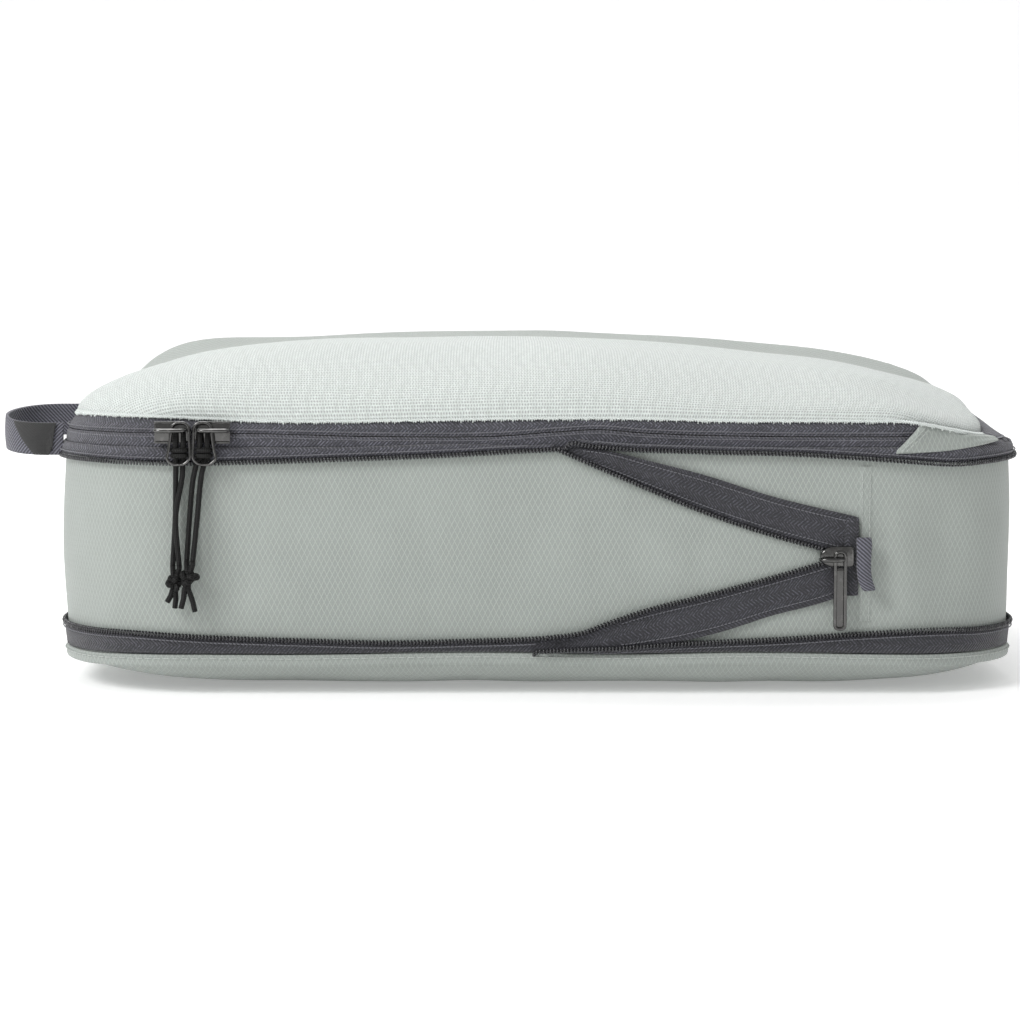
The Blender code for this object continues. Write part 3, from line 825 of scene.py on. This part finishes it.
def v_tape(side, coil_z, edge_z, tape_run, coil_start, seam_run, seam_end, dip):
    """One tape of the V with its coil and its two rows of stitches."""
    tape = sloped_tape(f"v_{side}_flap", spaced(*tape_run, 0.002), coil_z, edge_z, f"v_{side}_tape", dip)
    line = [front(x, 0.0029, coil_z(x)) for x in spaced(coil_start, 0.1060, 0.001)]
    flatten(tape, coil(f"v_{side}_spring", line, [f"v_{side}_coil"]))
    for key, share in (("a", 0.16), ("b", 0.84)):
        points = []
        for x in spaced(*seam_run, 0.002):
            z = coil_z(min(x, seam_end)) * (1 - share) + edge_z(x) * share
            points.append(front(x, max(0.0025, gusset_out(x, z) + 0.0012), z))
        flatten(line_stitches(f"v_{side}_stitches_{key}", points, length=0.0009, gap=0.0005))


def expansion_v():
    v_tape("upper", v_upper_coil_z, v_upper_edge_z, (0.0066, 0.1150), 0.0070, (0.016, 0.113), 0.108, 0.0005)
    v_tape("lower", v_lower_coil_z, v_lower_edge_z, (0.0040, 0.1120), 0.0030, (0.030, 0.110), 0.106, 0.0003)


def end_patch():
    """The dark tape folded over the zip's closed end."""
    heights = spaced(0.0365, 0.0648, 0.002)
    shape = [(0.1098, 0.0020), (0.1104, 0.0027), (0.1125, 0.0028), (0.1146, 0.0024), (0.1151, 0.0012)]
    rows = [[(front(x, out, z), (z, x)) for z in heights] for x, out in shape]
    # Painted shade: the end patch uses the darker copy of the slate tape.
    flatten(soften(grid("zip_end_tape", rows, "painted_shade_tape", ["zip_end_patch"])))


def stop_tab():
    """A short loop of webbing sewn over the zip's end; its lower end curls away."""
    shape = [(0.0576, 0.1142, 0.1188, 0.0), (0.0560, 0.1142, 0.1192, 0.0004), (0.0530, 0.1143, 0.1190, 0.0008)]
    shape += [(0.0490, 0.1143, 0.1187, 0.0008), (0.0450, 0.1144, 0.1188, 0.0008), (0.0425, 0.1148, 0.1192, 0.0009)]
    shape += [(0.0400, 0.1158, 0.1200, 0.0012), (0.0386, 0.1168, 0.1206, 0.0015)]
    rows = []
    for z, left, right, lift in shape:
        row = []
        for t in (1, 5 / 6, 4 / 6, 3 / 6, 2 / 6, 1 / 6, 0):
            out = 0.0031 + lift + 0.0009 * math.sin(math.pi * t)
            row.append((front(left + (right - left) * t, out, z), (z, t * 0.005)))
        rows.append(row)
    tab = grid("zip_stop_webbing", rows, "grey_webbing", ["zip_stop_tab"])
    ride("zip_end", thicken(soften(tab), 0.0008))


# ---------------------------------------------------------------------------------------------- rim and lid


def upper_flap():
    """The upper tape of the expansion zip hangs over the gusset from the crease, its coil along the bottom."""
    stations = spaced(RING_START + 0.0015, RING_END - 0.002, 0.0025)

    def low(s):
        return 0.0019, upper_coil_z(s) + 0.0005

    def high(s):
        left = s > PERIMETER / 2
        lift = 0.0012 * math.exp(-(((s - PERIMETER + 0.03) / 0.03) ** 2)) if left else 0.0
        return 0.0009, max(0.0899 + lift, upper_coil_z(s) + 0.0018)

    def seam(s):
        return 0.0025, upper_coil_z(s) + 0.0019

    tape = strip("upper_flap", stations, low, high, "slate_tape", ["upper_flap_tape"], TAPE, 5, 0.0003, 0.0005)
    line = [front(0.0098, 0.0022, 0.0890), front(0.0101, 0.0030, 0.0904), front(0.0113, 0.0034, 0.0914)]
    for s in spaced(RING_START + 0.0008, RING_END, 0.0010):
        line.append(place(s, 0.0024 + 0.0010 * math.exp(-s / 0.04), upper_coil_z(s)))
    spring = coil("upper_flap_spring", line, ["upper_flap_coil"])
    ride("rim", tape, spring, stitches("upper_flap_stitches", (0.02, PERIMETER - 0.004), seam))


ZIP_RUN = (STRAIGHT_X + 1.5 * QUARTER + 2 * STRAIGHT_Y, PERIMETER + STRAIGHT_X + 0.012)
HINGE_RUN = (STRAIGHT_X + 0.50 * QUARTER, ZIP_RUN[0] + 0.001)


def closure_foot(s):
    return 0.0001, ZIP_FOOT


def main_zip():
    """Two tapes that meet edge to edge over a hidden coil, round the front, left and back."""
    stations = spaced(*ZIP_RUN, 0.0030)

    def bulge(s):
        return 0.0012 - 0.45 * lid_inset(s) + 0.0003 * wobble(s, 0.09, 0.03, 4.0)

    def along_gap(out, dz):
        return lambda s: (bulge(s) + out, main_gap_z(s) + dz)

    def lid_edge(s):
        return -lid_inset(s), mesh_edge_z(s)

    hidden = [place(s, bulge(s) - 0.0016, main_gap_z(s)) for s in spaced(*ZIP_RUN, 0.002)]
    halves = [
        # Name, its stitches' name, body, edges, bow, shift of the coil, line of stitches.
        ("lower", "low", "rim", closure_foot, along_gap(0.0, -0.00015), 0.0005, -0.0005, along_gap(0.0004, -0.0013)),
        ("upper", "high", "lid", along_gap(0.0, 0.00020), lid_edge, 0.0004, 0.0005, along_gap(0.0003, 0.0014)),
    ]
    for half, short, body, low, high, bow, shift, seam in halves:
        name = "main_zip_" + half
        tape = strip(name, stations, low, high, "slate_tape", [name + "_tape"], TAPE, 5, 0.0002, bow)
        line = [point + Vector((0, 0, shift)) for point in hidden]
        spring = coil(name + "_spring", line, [name + "_coil"], 0.0005)
        ride(body, tape, spring, stitches("main_zip_stitches_" + short, ZIP_RUN, seam, length=0.0008))


def closure_out(s, z):
    """How far out the zip, or the hinge strip beyond its end, stands at a height."""
    inset = lid_inset(s)
    outs = (0.0001, 0.0018 - 0.45 * inset, -inset)
    return float(np.interp(z, (ZIP_FOOT, main_gap_z(s), mesh_edge_z(s)), outs))


def garage():
    """The sage fabric tab, stitched along its slanted edge, that the main zip runs into."""
    start, length, slant = 0.1270, 0.048, 0.0110
    rows = []
    for index, d in enumerate([0.0, *spaced(0.0012, length, 0.0016)]):
        share = d / length
        row = []
        for j in range(8):
            t = j / 7
            s = start + slant * t * max(0.0, 1.0 - share) + d
            foot = 0.0876 + 0.0034 * share**1.5
            z = foot + (mesh_edge_z(s) + 0.0004 - foot) * t
            out = 0.0013 + (0.0012 if index else 0.0) * (1.0 - share)
            out += 0.0010 * math.sin(math.pi * t) * math.cos(2.5 * math.pi * share) - lid_inset(s) * 0.9 * t * t
            if index:
                out = max(out, closure_out(s, z) + 0.0010)
            row.append((place(s, out, z), (s, z)))
        rows.append(row)
    patch = grid("zip_garage_fabric", rows, "sage_ripstop", ["zip_garage"])
    ride("rim", thicken(soften(patch), CLOTH))
    for key, inset in (("a", 0.0018), ("b", 0.0034)):
        line = []
        for t in spaced(0.08, 0.92, 0.1):
            s = start + slant * t + inset
            foot = 0.0877
            out = 0.0028 + 0.0010 * math.sin(math.pi * t) - lid_inset(s) * 0.9 * t * t
            line.append(place(s, out, foot + (mesh_edge_z(s) - foot) * t))
        ride("rim", line_stitches("zip_garage_stitches_" + key, line, "sage_thread", 0.0014, 0.0006, 0.00015))


LID_INSET = [
    (-0.60, 0.0050), (-0.40, 0.0035), (-0.30, 0.0025), (-0.205, 0.0045), (-0.166, 0.0045), (-0.120, 0.0030),
    (0.0, 0.0020), (0.100, 0.0020), (0.135, 0.0030), (0.166, 0.0070), (0.190, 0.0105), (0.205, 0.0110),
    (0.260, 0.0095), (0.34, 0.0070), (0.40, 0.0050), (0.60, 0.0050),
]
lid_inset = round_front(LID_INSET)


def crown_height(f):
    return LID_EDGE + (CROWN - LID_EDGE) * (1 - f**4) ** 0.58


def crown_arc():
    """Distance along the crown's profile from its middle, as a function of the scale f."""
    fs = np.linspace(0.0, 1.0, 801)
    zs = np.array([crown_height(f) for f in fs])
    run = np.concatenate([[0.0], np.cumsum(np.hypot(np.diff(fs) * 0.150, np.diff(zs)))]) / 0.150
    return lambda f: float(np.interp(f, fs, run))


CROWN_DENTS = [
    # (x, y, radius, height) of soft hollows and swells of the lid.
    (-0.105, -0.085, 0.050, 0.0016),
    (0.020, -0.090, 0.060, 0.0010),
    (-0.060, -0.050, 0.050, 0.0008),
    (-0.160, 0.080, 0.030, 0.0062),
    (0.000, 0.085, 0.060, 0.0012),
]


def ease(value, low, high):
    t = clamp((value - low) / (high - low))
    return t * t * (3 - 2 * t)


def lid_settling(x, y):
    """The mesh sags to the right. The fabric panel behind it stands a little higher."""
    rear = ease(y, 0.042, 0.075)
    return (0.0020 + 0.0055 * ease(x, 0.0, 0.110)) * (1 - rear) + 0.0032 * rear * ease(x, 0.03, 0.110)


def lid_surface(name, look, node):
    arc = crown_arc()
    scales = [1 - (i / 34) ** 1.7 for i in range(35)][::-1]
    rows = []
    for s in all_round(0.0040):
        row = []
        for f in scales:
            x, y = outline(s, -lid_inset(s) * f, f)
            z = crown_height(f) + (mesh_edge_z(s) - LID_EDGE) * max(0.0, f - 0.8) / 0.2
            soft = (1 - f**14) * min(1.0, f / 0.3)
            z -= lid_settling(x, y) * (1 - f**16)
            for cx, cy, radius, size in CROWN_DENTS:
                z += size * soft * math.exp(-((x - cx) ** 2 + (y - cy) ** 2) / radius**2)
            z += 0.0011 * soft * noise.noise(Vector((x / 0.045, y / 0.045, 2.0)))
            gather = max(0.0, 1 - abs(f - 0.93) / 0.07) * noise.noise(Vector((x / 0.006, y / 0.006, 7.0)))
            spread = arc(f) / f if f > 0 else 1.0
            row.append((Vector((x, y, z + 0.0004 * gather)), (x * spread, y * spread)))
        rows.append(row)
    return grid(name, rows, look, [node], closed=True)


def edit(obj, change):
    """Runs change on the piece's mesh."""
    bm = bmesh.new()
    bm.from_mesh(obj.data)
    change(bm)
    bm.to_mesh(obj.data)
    bm.free()


def cut(obj, side):
    """Keeps the part of the lid in front of the seam between its panels (side 1), or behind it (side -1)."""

    def bisect(bm):
        bmesh.ops.remove_doubles(bm, verts=bm.verts, dist=0.00001)
        bmesh.ops.bisect_plane(
            bm, geom=[*bm.verts, *bm.edges, *bm.faces], plane_co=(0, PANEL_SEAM_Y, 0),
            plane_no=(0, side, 0), clear_outer=True,
        )

    edit(obj, bisect)


def lid():
    mesh = lid_surface("lid_mesh", "mint_mesh", "lid_mesh_panel")
    fabric = lid_surface("lid_fabric", "sage_ripstop", "lid_fabric_panel")
    lid_tape(mesh)
    for panel, side in ((mesh, 1), (fabric, -1)):
        cut(panel, side)
        ride("lid", thicken(panel, 0.0008))
    overlock()


def lid_tape(surface):
    """The narrow folded seam between the two panels, with a row of stitches along each side."""
    bpy.context.view_layer.update()
    width, across = 0.0042, 6
    rows = []
    lines = {"a": [], "b": []}
    for x in spaced(-0.1680, 0.1680, 0.0024):
        row = []
        for j in range(across + 1):
            y = PANEL_SEAM_Y + width * (j / across - 0.5)
            found, spot, normal, _ = surface.ray_cast(Vector((x, y, 0.2)), Vector((0, 0, -1)))
            if found:
                lift = 0.0005 * math.sin(math.pi * j / across) + 0.0001
                row.append((spot + normal * lift, (x, width * j / across)))
        if len(row) <= across:
            continue
        rows.append(row)
        for key, j in (("a", 1), ("b", 5)):
            lines[key].append(row[j][0] + Vector((0, 0, 0.0002)))
    ride("lid", soften(grid("lid_seam_tape", rows, "sage_ripstop", ["lid_panel_seam"])))
    for key, line in lines.items():
        name = "lid_seam_stitches_" + key
        ride("lid", line_stitches(name, line, "sage_thread", 0.0022, 0.0007, 0.00018, 0.0))


def overlock():
    """The looped thread that binds the mesh where it is sewn to the zip tape."""
    line = []
    s = ZIP_RUN[0] - PERIMETER
    while s < 0.1720:
        reach = 0.0002 + 0.0008 * random.random() ** 2
        lean = 0.0005 * random.random()
        edge = mesh_edge_z(s)
        inset = lid_inset(s) - 0.0036 * clamp((s - 0.1300) / 0.006)
        line.append(place(s, 0.0004 - inset, edge + 0.0007))
        line.append(place(s + 0.0003 + lean, 0.0009 - inset, edge + 0.0001))
        line.append(place(s + 0.0006, 0.0008 - 0.9 * inset, edge - reach))
        line.append(place(s + 0.0009, 0.0008 - inset, edge + 0.0002))
        s += 0.00085
    ride("lid", tubes("lid_mesh_overlock", [line], 0.00038, "mint_yarn", sides=5))


def hinge():
    """The fabric hinge: the strip that joins lid and rim where there is no zip. Its ends are two loose edges."""
    straight = (HINGE_RUN[0] + 0.020, HINGE_RUN[1] - 0.020)

    def middle(s):
        return 0.0022 - 0.5 * lid_inset(s), (ZIP_FOOT + mesh_edge_z(s)) / 2

    def high(s):
        return -lid_inset(s), mesh_edge_z(s) + 0.0002

    shape = {"look": "slate_tape", "thickness": CLOTH, "across": 8, "ruffle": 0.0003}
    stations = spaced(*straight, 0.003)
    bend = strip("lid_hinge_fabric", stations, closure_foot, high, nodes=["lid_hinge_strip"], bow=0.0022, **shape)
    bend.modifiers.clear()
    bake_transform(bend)
    thicken(bend, CLOTH)
    for name, run in (("front", (HINGE_RUN[0], straight[0])), ("rear", (straight[1], HINGE_RUN[1]))):
        stations = spaced(*run, 0.003)
        ride("rim", strip(f"hinge_{name}_lower_edge", stations, closure_foot, middle, bow=0.0004, **shape))
        ride("lid", strip(f"hinge_{name}_upper_edge", stations, middle, high, bow=0.0004, **shape))


# ---------------------------------------------------------------------------------------------- grab loop


def loop_point(turn, out=0.0):
    """The loop's middle line: half a turn from its near root, out to the left and back to its far root.

    Beyond half a turn it runs straight into the seam.
    """
    near_y, far_y, root_x, reach = -0.088, -0.046, -0.1803, 0.0205
    middle, half = (near_y + far_y) / 2, (far_y - near_y) / 2
    past = max(0.0, -turn, turn - math.pi)
    turn = min(math.pi, max(0.0, turn))
    x = root_x - (reach + out) * math.sin(turn) ** 0.8 + 0.0080 * past
    return x, middle - (half + out) * math.cos(turn)


def grab_loop():
    strap = band("grab_loop_strap", (-0.50, math.pi + 0.50), 0.0, 0.0060, "grey_webbing", ["grab_loop_webbing"])
    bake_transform(strap)
    thicken(strap, 0.0012, 0.0)
    tag = band("grab_loop_tag", (-0.16, 0.74), 0.0012, 0.0061, "black_label", ["grab_loop_label"], (0.20, -0.48))
    ride("grab_loop", soften(thicken(tag, 0.0005, 0.0)))


def band(name, span, out, half, look, nodes, taper=(0.0, 0.0)):
    """A band along the loop. taper turns the lower edge's two ends on from the upper edge's."""
    first, last = span
    rows = []
    run = 0.0
    before = None
    for turn in spaced(first, last, 0.04):
        spot = loop_point(turn, out)
        run += math.dist(spot, before) if before else 0.0
        before = spot
        share = (turn - first) / (last - first)
        row = []
        for j in range(8, -1, -1):
            t = -1 + j / 4
            here = turn + (taper[0] * (1 - share) + taper[1] * share) * (1 - t) / 2
            x, y = loop_point(here, out)
            middle_z = 0.0903 + 0.0024 * (1 - math.cos(min(math.pi, max(0.0, here))))
            row.append((Vector((x - 0.0004 * (1 - t * t), y, middle_z + half * t)), (run, half * (t + 1))))
        rows.append(row)
    return grid(name, rows, look, nodes)


# ---------------------------------------------------------------------------------------------- sliders and pulls


def plate(name, shape, near, far, nodes=(), bevel=0.0003):
    """A flat shape in the front plane, given as (x, z) corners, from near to far outwards, with round edges."""
    count = len(shape)
    verts = [front(x, out, z) for out in (near, far) for x, z in shape]
    faces = [tuple(range(count)), tuple(range(2 * count - 1, count - 1, -1))]
    faces += [(i, i + count, (i + 1) % count + count, (i + 1) % count) for i in range(count)]
    piece = add_piece(name, verts, faces, [(v.x, v.z) for v in verts], "gunmetal", nodes)
    edit(piece, lambda bm: bmesh.ops.recalc_face_normals(bm, faces=bm.faces))
    edge = piece.modifiers.new("edges", "BEVEL")
    edge.width = bevel
    edge.segments = 3
    edge.limit_method = "ANGLE"
    return piece


def mirrored(x, side):
    return x if side == "left" else 2 * SLIDER_MIRROR_X - x


def rounded(points, radius, steps=4):
    """The closed polygon with its corners cut to arcs."""
    result = []
    count = len(points)
    for i, corner in enumerate(points):
        before, after = points[i - 1], points[(i + 1) % count]
        room = min(radius, 0.45 * math.dist(corner, before), 0.45 * math.dist(corner, after))
        a = [c + (b - c) * room / math.dist(corner, before) for b, c in zip(before, corner)]
        d = [c + (b - c) * room / math.dist(corner, after) for b, c in zip(after, corner)]
        for k in range(steps + 1):
            t = k / steps
            weights = (1 - t) ** 2, 2 * t * (1 - t), t * t
            result.append(tuple(sum(w * c for w, c in zip(weights, cs)) for cs in zip(a, corner, d)))
    return result


def arch(name, ends, z, width, foot, top):
    """A slider's bridge: a bar along X that rises from the plate at both ends."""
    left, right = sorted(ends)
    knee = foot + 0.3 * (top - foot)
    profile = [(left + 0.0003, foot), (left, knee), (left + 0.0004, top - 0.0005), (left + 0.0016, top)]
    profile += [((left + right) / 2, top + 0.0002), (right - 0.0016, top), (right - 0.0004, top - 0.0005)]
    profile += [(right, knee), (right - 0.0003, foot)]
    line = resampled([front(x, out, z) for x, out in profile], 0.0004)
    return add_piece(name, *tube_parts(line, width / 2, 12, flat=0.62), "gunmetal")


def main_slider(side):
    name = "main_slider_" + side
    shape = [(-0.1244, 0.0939), (-0.1252, 0.0922), (-0.1290, 0.0913), (-0.1376, 0.0915)]
    shape += [(-0.1376, 0.0990), (-0.1290, 0.0991), (-0.1252, 0.0984), (-0.1244, 0.0967)]
    shape = rounded([(mirrored(x, side), z) for x, z in shape], 0.0009)
    base = plate(name + "_plate", shape, 0.0012, 0.0026, [name])
    low = [(-0.1288, 0.0913), (-0.1376, 0.0914), (-0.1376, 0.0921), (-0.1288, 0.0921)]
    low = [(mirrored(x, side), z) for x, z in low]
    top = [(x, 2 * MAIN_ZIP_Z - z) for x, z in low]
    flanges = []
    for end, rim in (("low", low), ("top", top)):
        flanges.append(plate(f"{name}_flange_{end}", rim, 0.0020, 0.0034, bevel=0.0002))
    ends = (mirrored(-0.1366, side), mirrored(-0.1268, side))
    bridge = arch(name + "_bridge", ends, 0.0962, 0.0027, 0.0022, 0.0072)
    ride("slider_" + side, base, *flanges, bridge)


def pull(side):
    """The wire ring."""
    shape = [(-0.1308, 0.0990), (-0.1322, 0.0885), (-0.1329, 0.0861), (-0.1308, 0.0840), (-0.1266, 0.0840)]
    shape += [(-0.1245, 0.0861), (-0.1245, 0.0885), (-0.1250, 0.0990)]
    loop = rounded([(mirrored(x, side), z) for x, z in shape], 0.0034, 6)
    line = [front(x, 0.0056 + 0.05 * (0.0990 - z), z) for x, z in loop]
    ring = tubes(f"pull_{side}_ring", [line], 0.00055, "gunmetal", ["pull_ring_" + side], sides=10, closed=True)
    ride("pull_" + side, ring)


def hitch(side):
    """The doubled cord's turn round the ring, seen inside the ring."""
    drop = [(0.0036, 0.0952), (0.0046, 0.0935), (0.0052, 0.0915)]
    drop += [(0.0052, 0.0890), (0.0046, 0.0868), (0.0040, 0.0855)]
    lines = [[front(mirrored(x, side), out, z) for out, z in drop] for x in (-0.1297, -0.1270)]
    for z in (0.0872, 0.0891):
        turn = []
        for i in range(13):
            angle = math.pi * i / 12
            x = -0.12835 - 0.0024 * math.cos(angle)
            turn.append(front(mirrored(x, side), 0.0050 + 0.0014 * math.sin(angle), z))
        lines.append(turn)
    lines = [resampled(line, 0.0005) for line in lines]
    return tubes(f"pull_{side}_hitch", lines, 0.00095, "black_cord", ["pull_hitch_" + side], sides=8)


CORD_ROUTES = {
    "left_a": (
        (-0.1296, 0.0040, 0.0869), (-0.1299, 0.0036, 0.0790), (-0.1301, 0.0042, 0.0650), (-0.1310, 0.0060, 0.0480),
    ),
    "left_b": (
        (-0.1272, 0.0040, 0.0869), (-0.1276, 0.0043, 0.0790), (-0.1297, 0.0069, 0.0650), (-0.1286, 0.0074, 0.0480),
    ),
    "right_a": (
        (-0.1214, 0.0040, 0.0869), (-0.1236, 0.0042, 0.0790), (-0.1250, 0.0046, 0.0650), (-0.1259, 0.0068, 0.0496),
    ),
    "right_b": (
        (-0.1188, 0.0040, 0.0869), (-0.1208, 0.0043, 0.0790), (-0.1221, 0.0056, 0.0650), (-0.1236, 0.0084, 0.0496),
    ),
}
KNOTS = {"left": (-0.1302, 0.0062, 0.0420), "right": (-0.1250, 0.0086, 0.0438)}
TAILS = {
    "left": (((-0.0010, -0.0030), (-0.0030, -0.0074)), ((0.0000, -0.0032), (-0.0003, -0.0096))),
    "right": (((-0.0016, -0.0040), (-0.0030, -0.0112)), ((-0.0004, -0.0040), (0.0020, -0.0124))),
}


def smooth_route(route, spacing):
    """A Catmull-Rom curve through the route's points."""
    ends = [route[0], *route, route[-1]]
    dense = []
    for controls in zip(ends, ends[1:], ends[2:], ends[3:]):
        for step in range(20):
            t = step / 20
            point = []
            for p, q, r, s in zip(*controls):
                bend = (2 * p - 5 * q + 4 * r - s) * t**2 + (3 * q - p - 3 * r + s) * t**3
                point.append(0.5 * (2 * q + (r - p) * t + bend))
            dense.append(point)
    dense.append(route[-1])
    return resampled(dense, spacing)


def cords():
    for side in ("left", "right"):
        body = "pull_" + side
        knot, turns = knot_piece(side), hitch(side)
        ride(body, knot, turns)
        for strand in "ab":
            key = side + "_" + strand
            route = [(x, -HALF_DEPTH - out, z) for x, out, z in CORD_ROUTES[key]]
            path = smooth_route(route, 0.0013)
            name = f"pull_{side}_cord_{strand}"
            piece = tubes(name, [path], CORD_RADIUS, "black_cord", ["pull_cord_" + key], 10)
            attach(piece, body)
            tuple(route[0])


def knot_piece(side):
    """An overhand knot of the doubled cord, and its two cut tails."""
    x, out, z = KNOTS[side]
    turn = 0.35 if side == "left" else -0.5
    lines = []
    for shift in (-0.00055, 0.00055):
        line = []
        for i in range(49):
            a = 2 * math.pi * i / 48
            dx = 0.00100 * (math.sin(a) + 1.30 * math.sin(2 * a)) + shift
            dz = 0.00095 * (math.cos(a) - 1.30 * math.cos(2 * a)) + shift
            dy = 0.00115 * math.sin(3 * a) + shift
            px = dx * math.cos(turn) - dz * math.sin(turn)
            pz = dx * math.sin(turn) + dz * math.cos(turn)
            line.append(front(x + px, out - dy, z + pz))
        lines.append(line)
    for (ax, az), (bx, bz) in TAILS[side]:
        tail = [(ax * 0.3, az * 0.3), (ax, az), ((ax + bx) / 2 + 0.0003, (az + bz) / 2), (bx, bz)]
        lines.append([front(x + dx, out - 0.0004, z + dz) for dx, dz in tail])
    for strand in "ab":
        end_x, end_out, end_z = CORD_ROUTES[side + "_" + strand][-1]
        reach = 0.0007 if strand == "b" else -0.0007
        lead = [(end_x, end_out, end_z), (end_x, end_out, end_z - 0.0012), (x + reach, out, z + 0.0026), (x, out, z)]
        lines.append([front(*spot) for spot in lead])
    lines = [resampled(line, 0.0004) for line in lines]
    return tubes(f"pull_{side}_knot", lines, CORD_RADIUS * 0.98, "black_cord", ["pull_knot_" + side], 8)


def expansion_slider():
    shape = [(0.1009, 0.0500), (0.1018, 0.0484), (0.1045, 0.0471), (0.1132, 0.0470)]
    shape += [(0.1132, 0.0546), (0.1045, 0.0546), (0.1018, 0.0532), (0.1009, 0.0517)]
    shape = rounded(shape, 0.0016)
    base = plate("expansion_slider_plate", shape, 0.0029, 0.0050, ["expansion_slider_body"], 0.0009)
    bridge = arch("expansion_slider_bridge", (0.1016, 0.1086), 0.0499, 0.0029, 0.0040, 0.0072)
    ride("expansion_slider", base, bridge)

    def frame_shape(inset, top, radius):
        left, right, low = 0.1058 + inset, 0.1104 - inset, 0.0243 + inset
        return rounded([(left, top), (left, low), (right, low), (right, top)], radius, 6)

    inner = frame_shape(0.0006, 0.0468, 0.0017)
    tab = plate("expansion_pull_plate", inner, 0.0050, 0.0053, ["expansion_pull_tab"], 0.0001)
    wire = [front(x, 0.0055, z) for x, z in frame_shape(0.0005, 0.0525, 0.0018)]
    rim = tubes("expansion_pull_rim", [wire], 0.00066, "gunmetal", sides=10, closed=True)
    ride("expansion_pull", tab, rim)


# ---------------------------------------------------------------------------------------------- stage


def add_object(name, data):
    obj = bpy.data.objects.new(name, data)
    bpy.context.scene.collection.objects.link(obj)
    return obj


def camera():
    data = bpy.data.cameras.new("camera")
    data.sensor_width = 36.0
    data.lens = 98.6
    tilt_down = 5.3
    obj = add_object("camera", data)
    obj.location = (-0.0103, -1.127, 0.160)
    obj.rotation_euler = (math.radians(90.0 - tilt_down), 0.0, 0.0)
    bpy.context.scene.camera = obj


def light(name, place_at, size, energy, target=(0.0, 0.0, 0.05)):
    data = bpy.data.lights.new(name, "AREA")
    data.shape = "DISK"
    data.size = size
    data.energy = energy
    obj = add_object(name, data)
    obj.location = place_at
    aim = Vector(target) - Vector(place_at)
    obj.rotation_euler = aim.to_track_quat("-Z", "Y").to_euler()


def floor_mesh():
    """A floor that bends up into a wall behind."""
    mesh = bpy.data.meshes.new("floor")
    size, steps, back, radius, wall, gap = 6.0, 12, 1.6, 1.0, 6.0, 0.0003
    rows = [(-size, 0.0), (back, 0.0)]
    for i in range(1, steps + 1):
        angle = math.pi / 2 * i / steps
        rows.append((back + radius * math.sin(angle), radius * (1.0 - math.cos(angle))))
    rows.append((back + radius, wall))
    verts = [(x, y, z - gap) for y, z in rows for x in (-size, size)]
    faces = [(2 * i, 2 * i + 1, 2 * i + 3, 2 * i + 2) for i in range(len(rows) - 1)]
    mesh.from_pydata(verts, [], faces)
    mesh.shade_smooth()
    return mesh


def stage():
    white = (1.0, 1.0, 1.0)
    mesh = floor_mesh()
    look = Look("floor_look", (0.92, 0.92, 0.92), 0.8)
    look.set("Emission Color", white)
    look.set("Emission Strength", 0.24)
    mesh.materials.append(look.material)
    add_object("floor", mesh)
    world = bpy.data.worlds.new("studio")
    bpy.context.scene.world = world
    world.use_nodes = True
    background = world.node_tree.nodes["Background"]
    background.inputs["Color"].default_value = (*white, 1.0)
    background.inputs["Strength"].default_value = 0.56
    light("key", (-1.1, -1.1, 1.2), 0.8, 21.0)
    light("top", (-0.2, 0.6, 1.5), 1.2, 14.0)
    light("glint", (-0.35, -1.3, 0.62), 0.10, 0.7)
    bpy.context.scene.view_settings.view_transform = "Standard"


camera()
cords()
for side in ("left", "right"):
    main_slider(side)
    pull(side)
gusset()
side_seam()
bottom()
bottom_edge()
binding("bottom_binding", 0.0155, "base", "bottom_inner_binding")
binding("rim_binding", 0.0890, "rim", "rim_inner_binding")
lower_flap()
expansion_v()
end_patch()
stop_tab()
upper_flap()
main_zip()
garage()
lid()
hinge()
grab_loop()
expansion_slider()
stage()
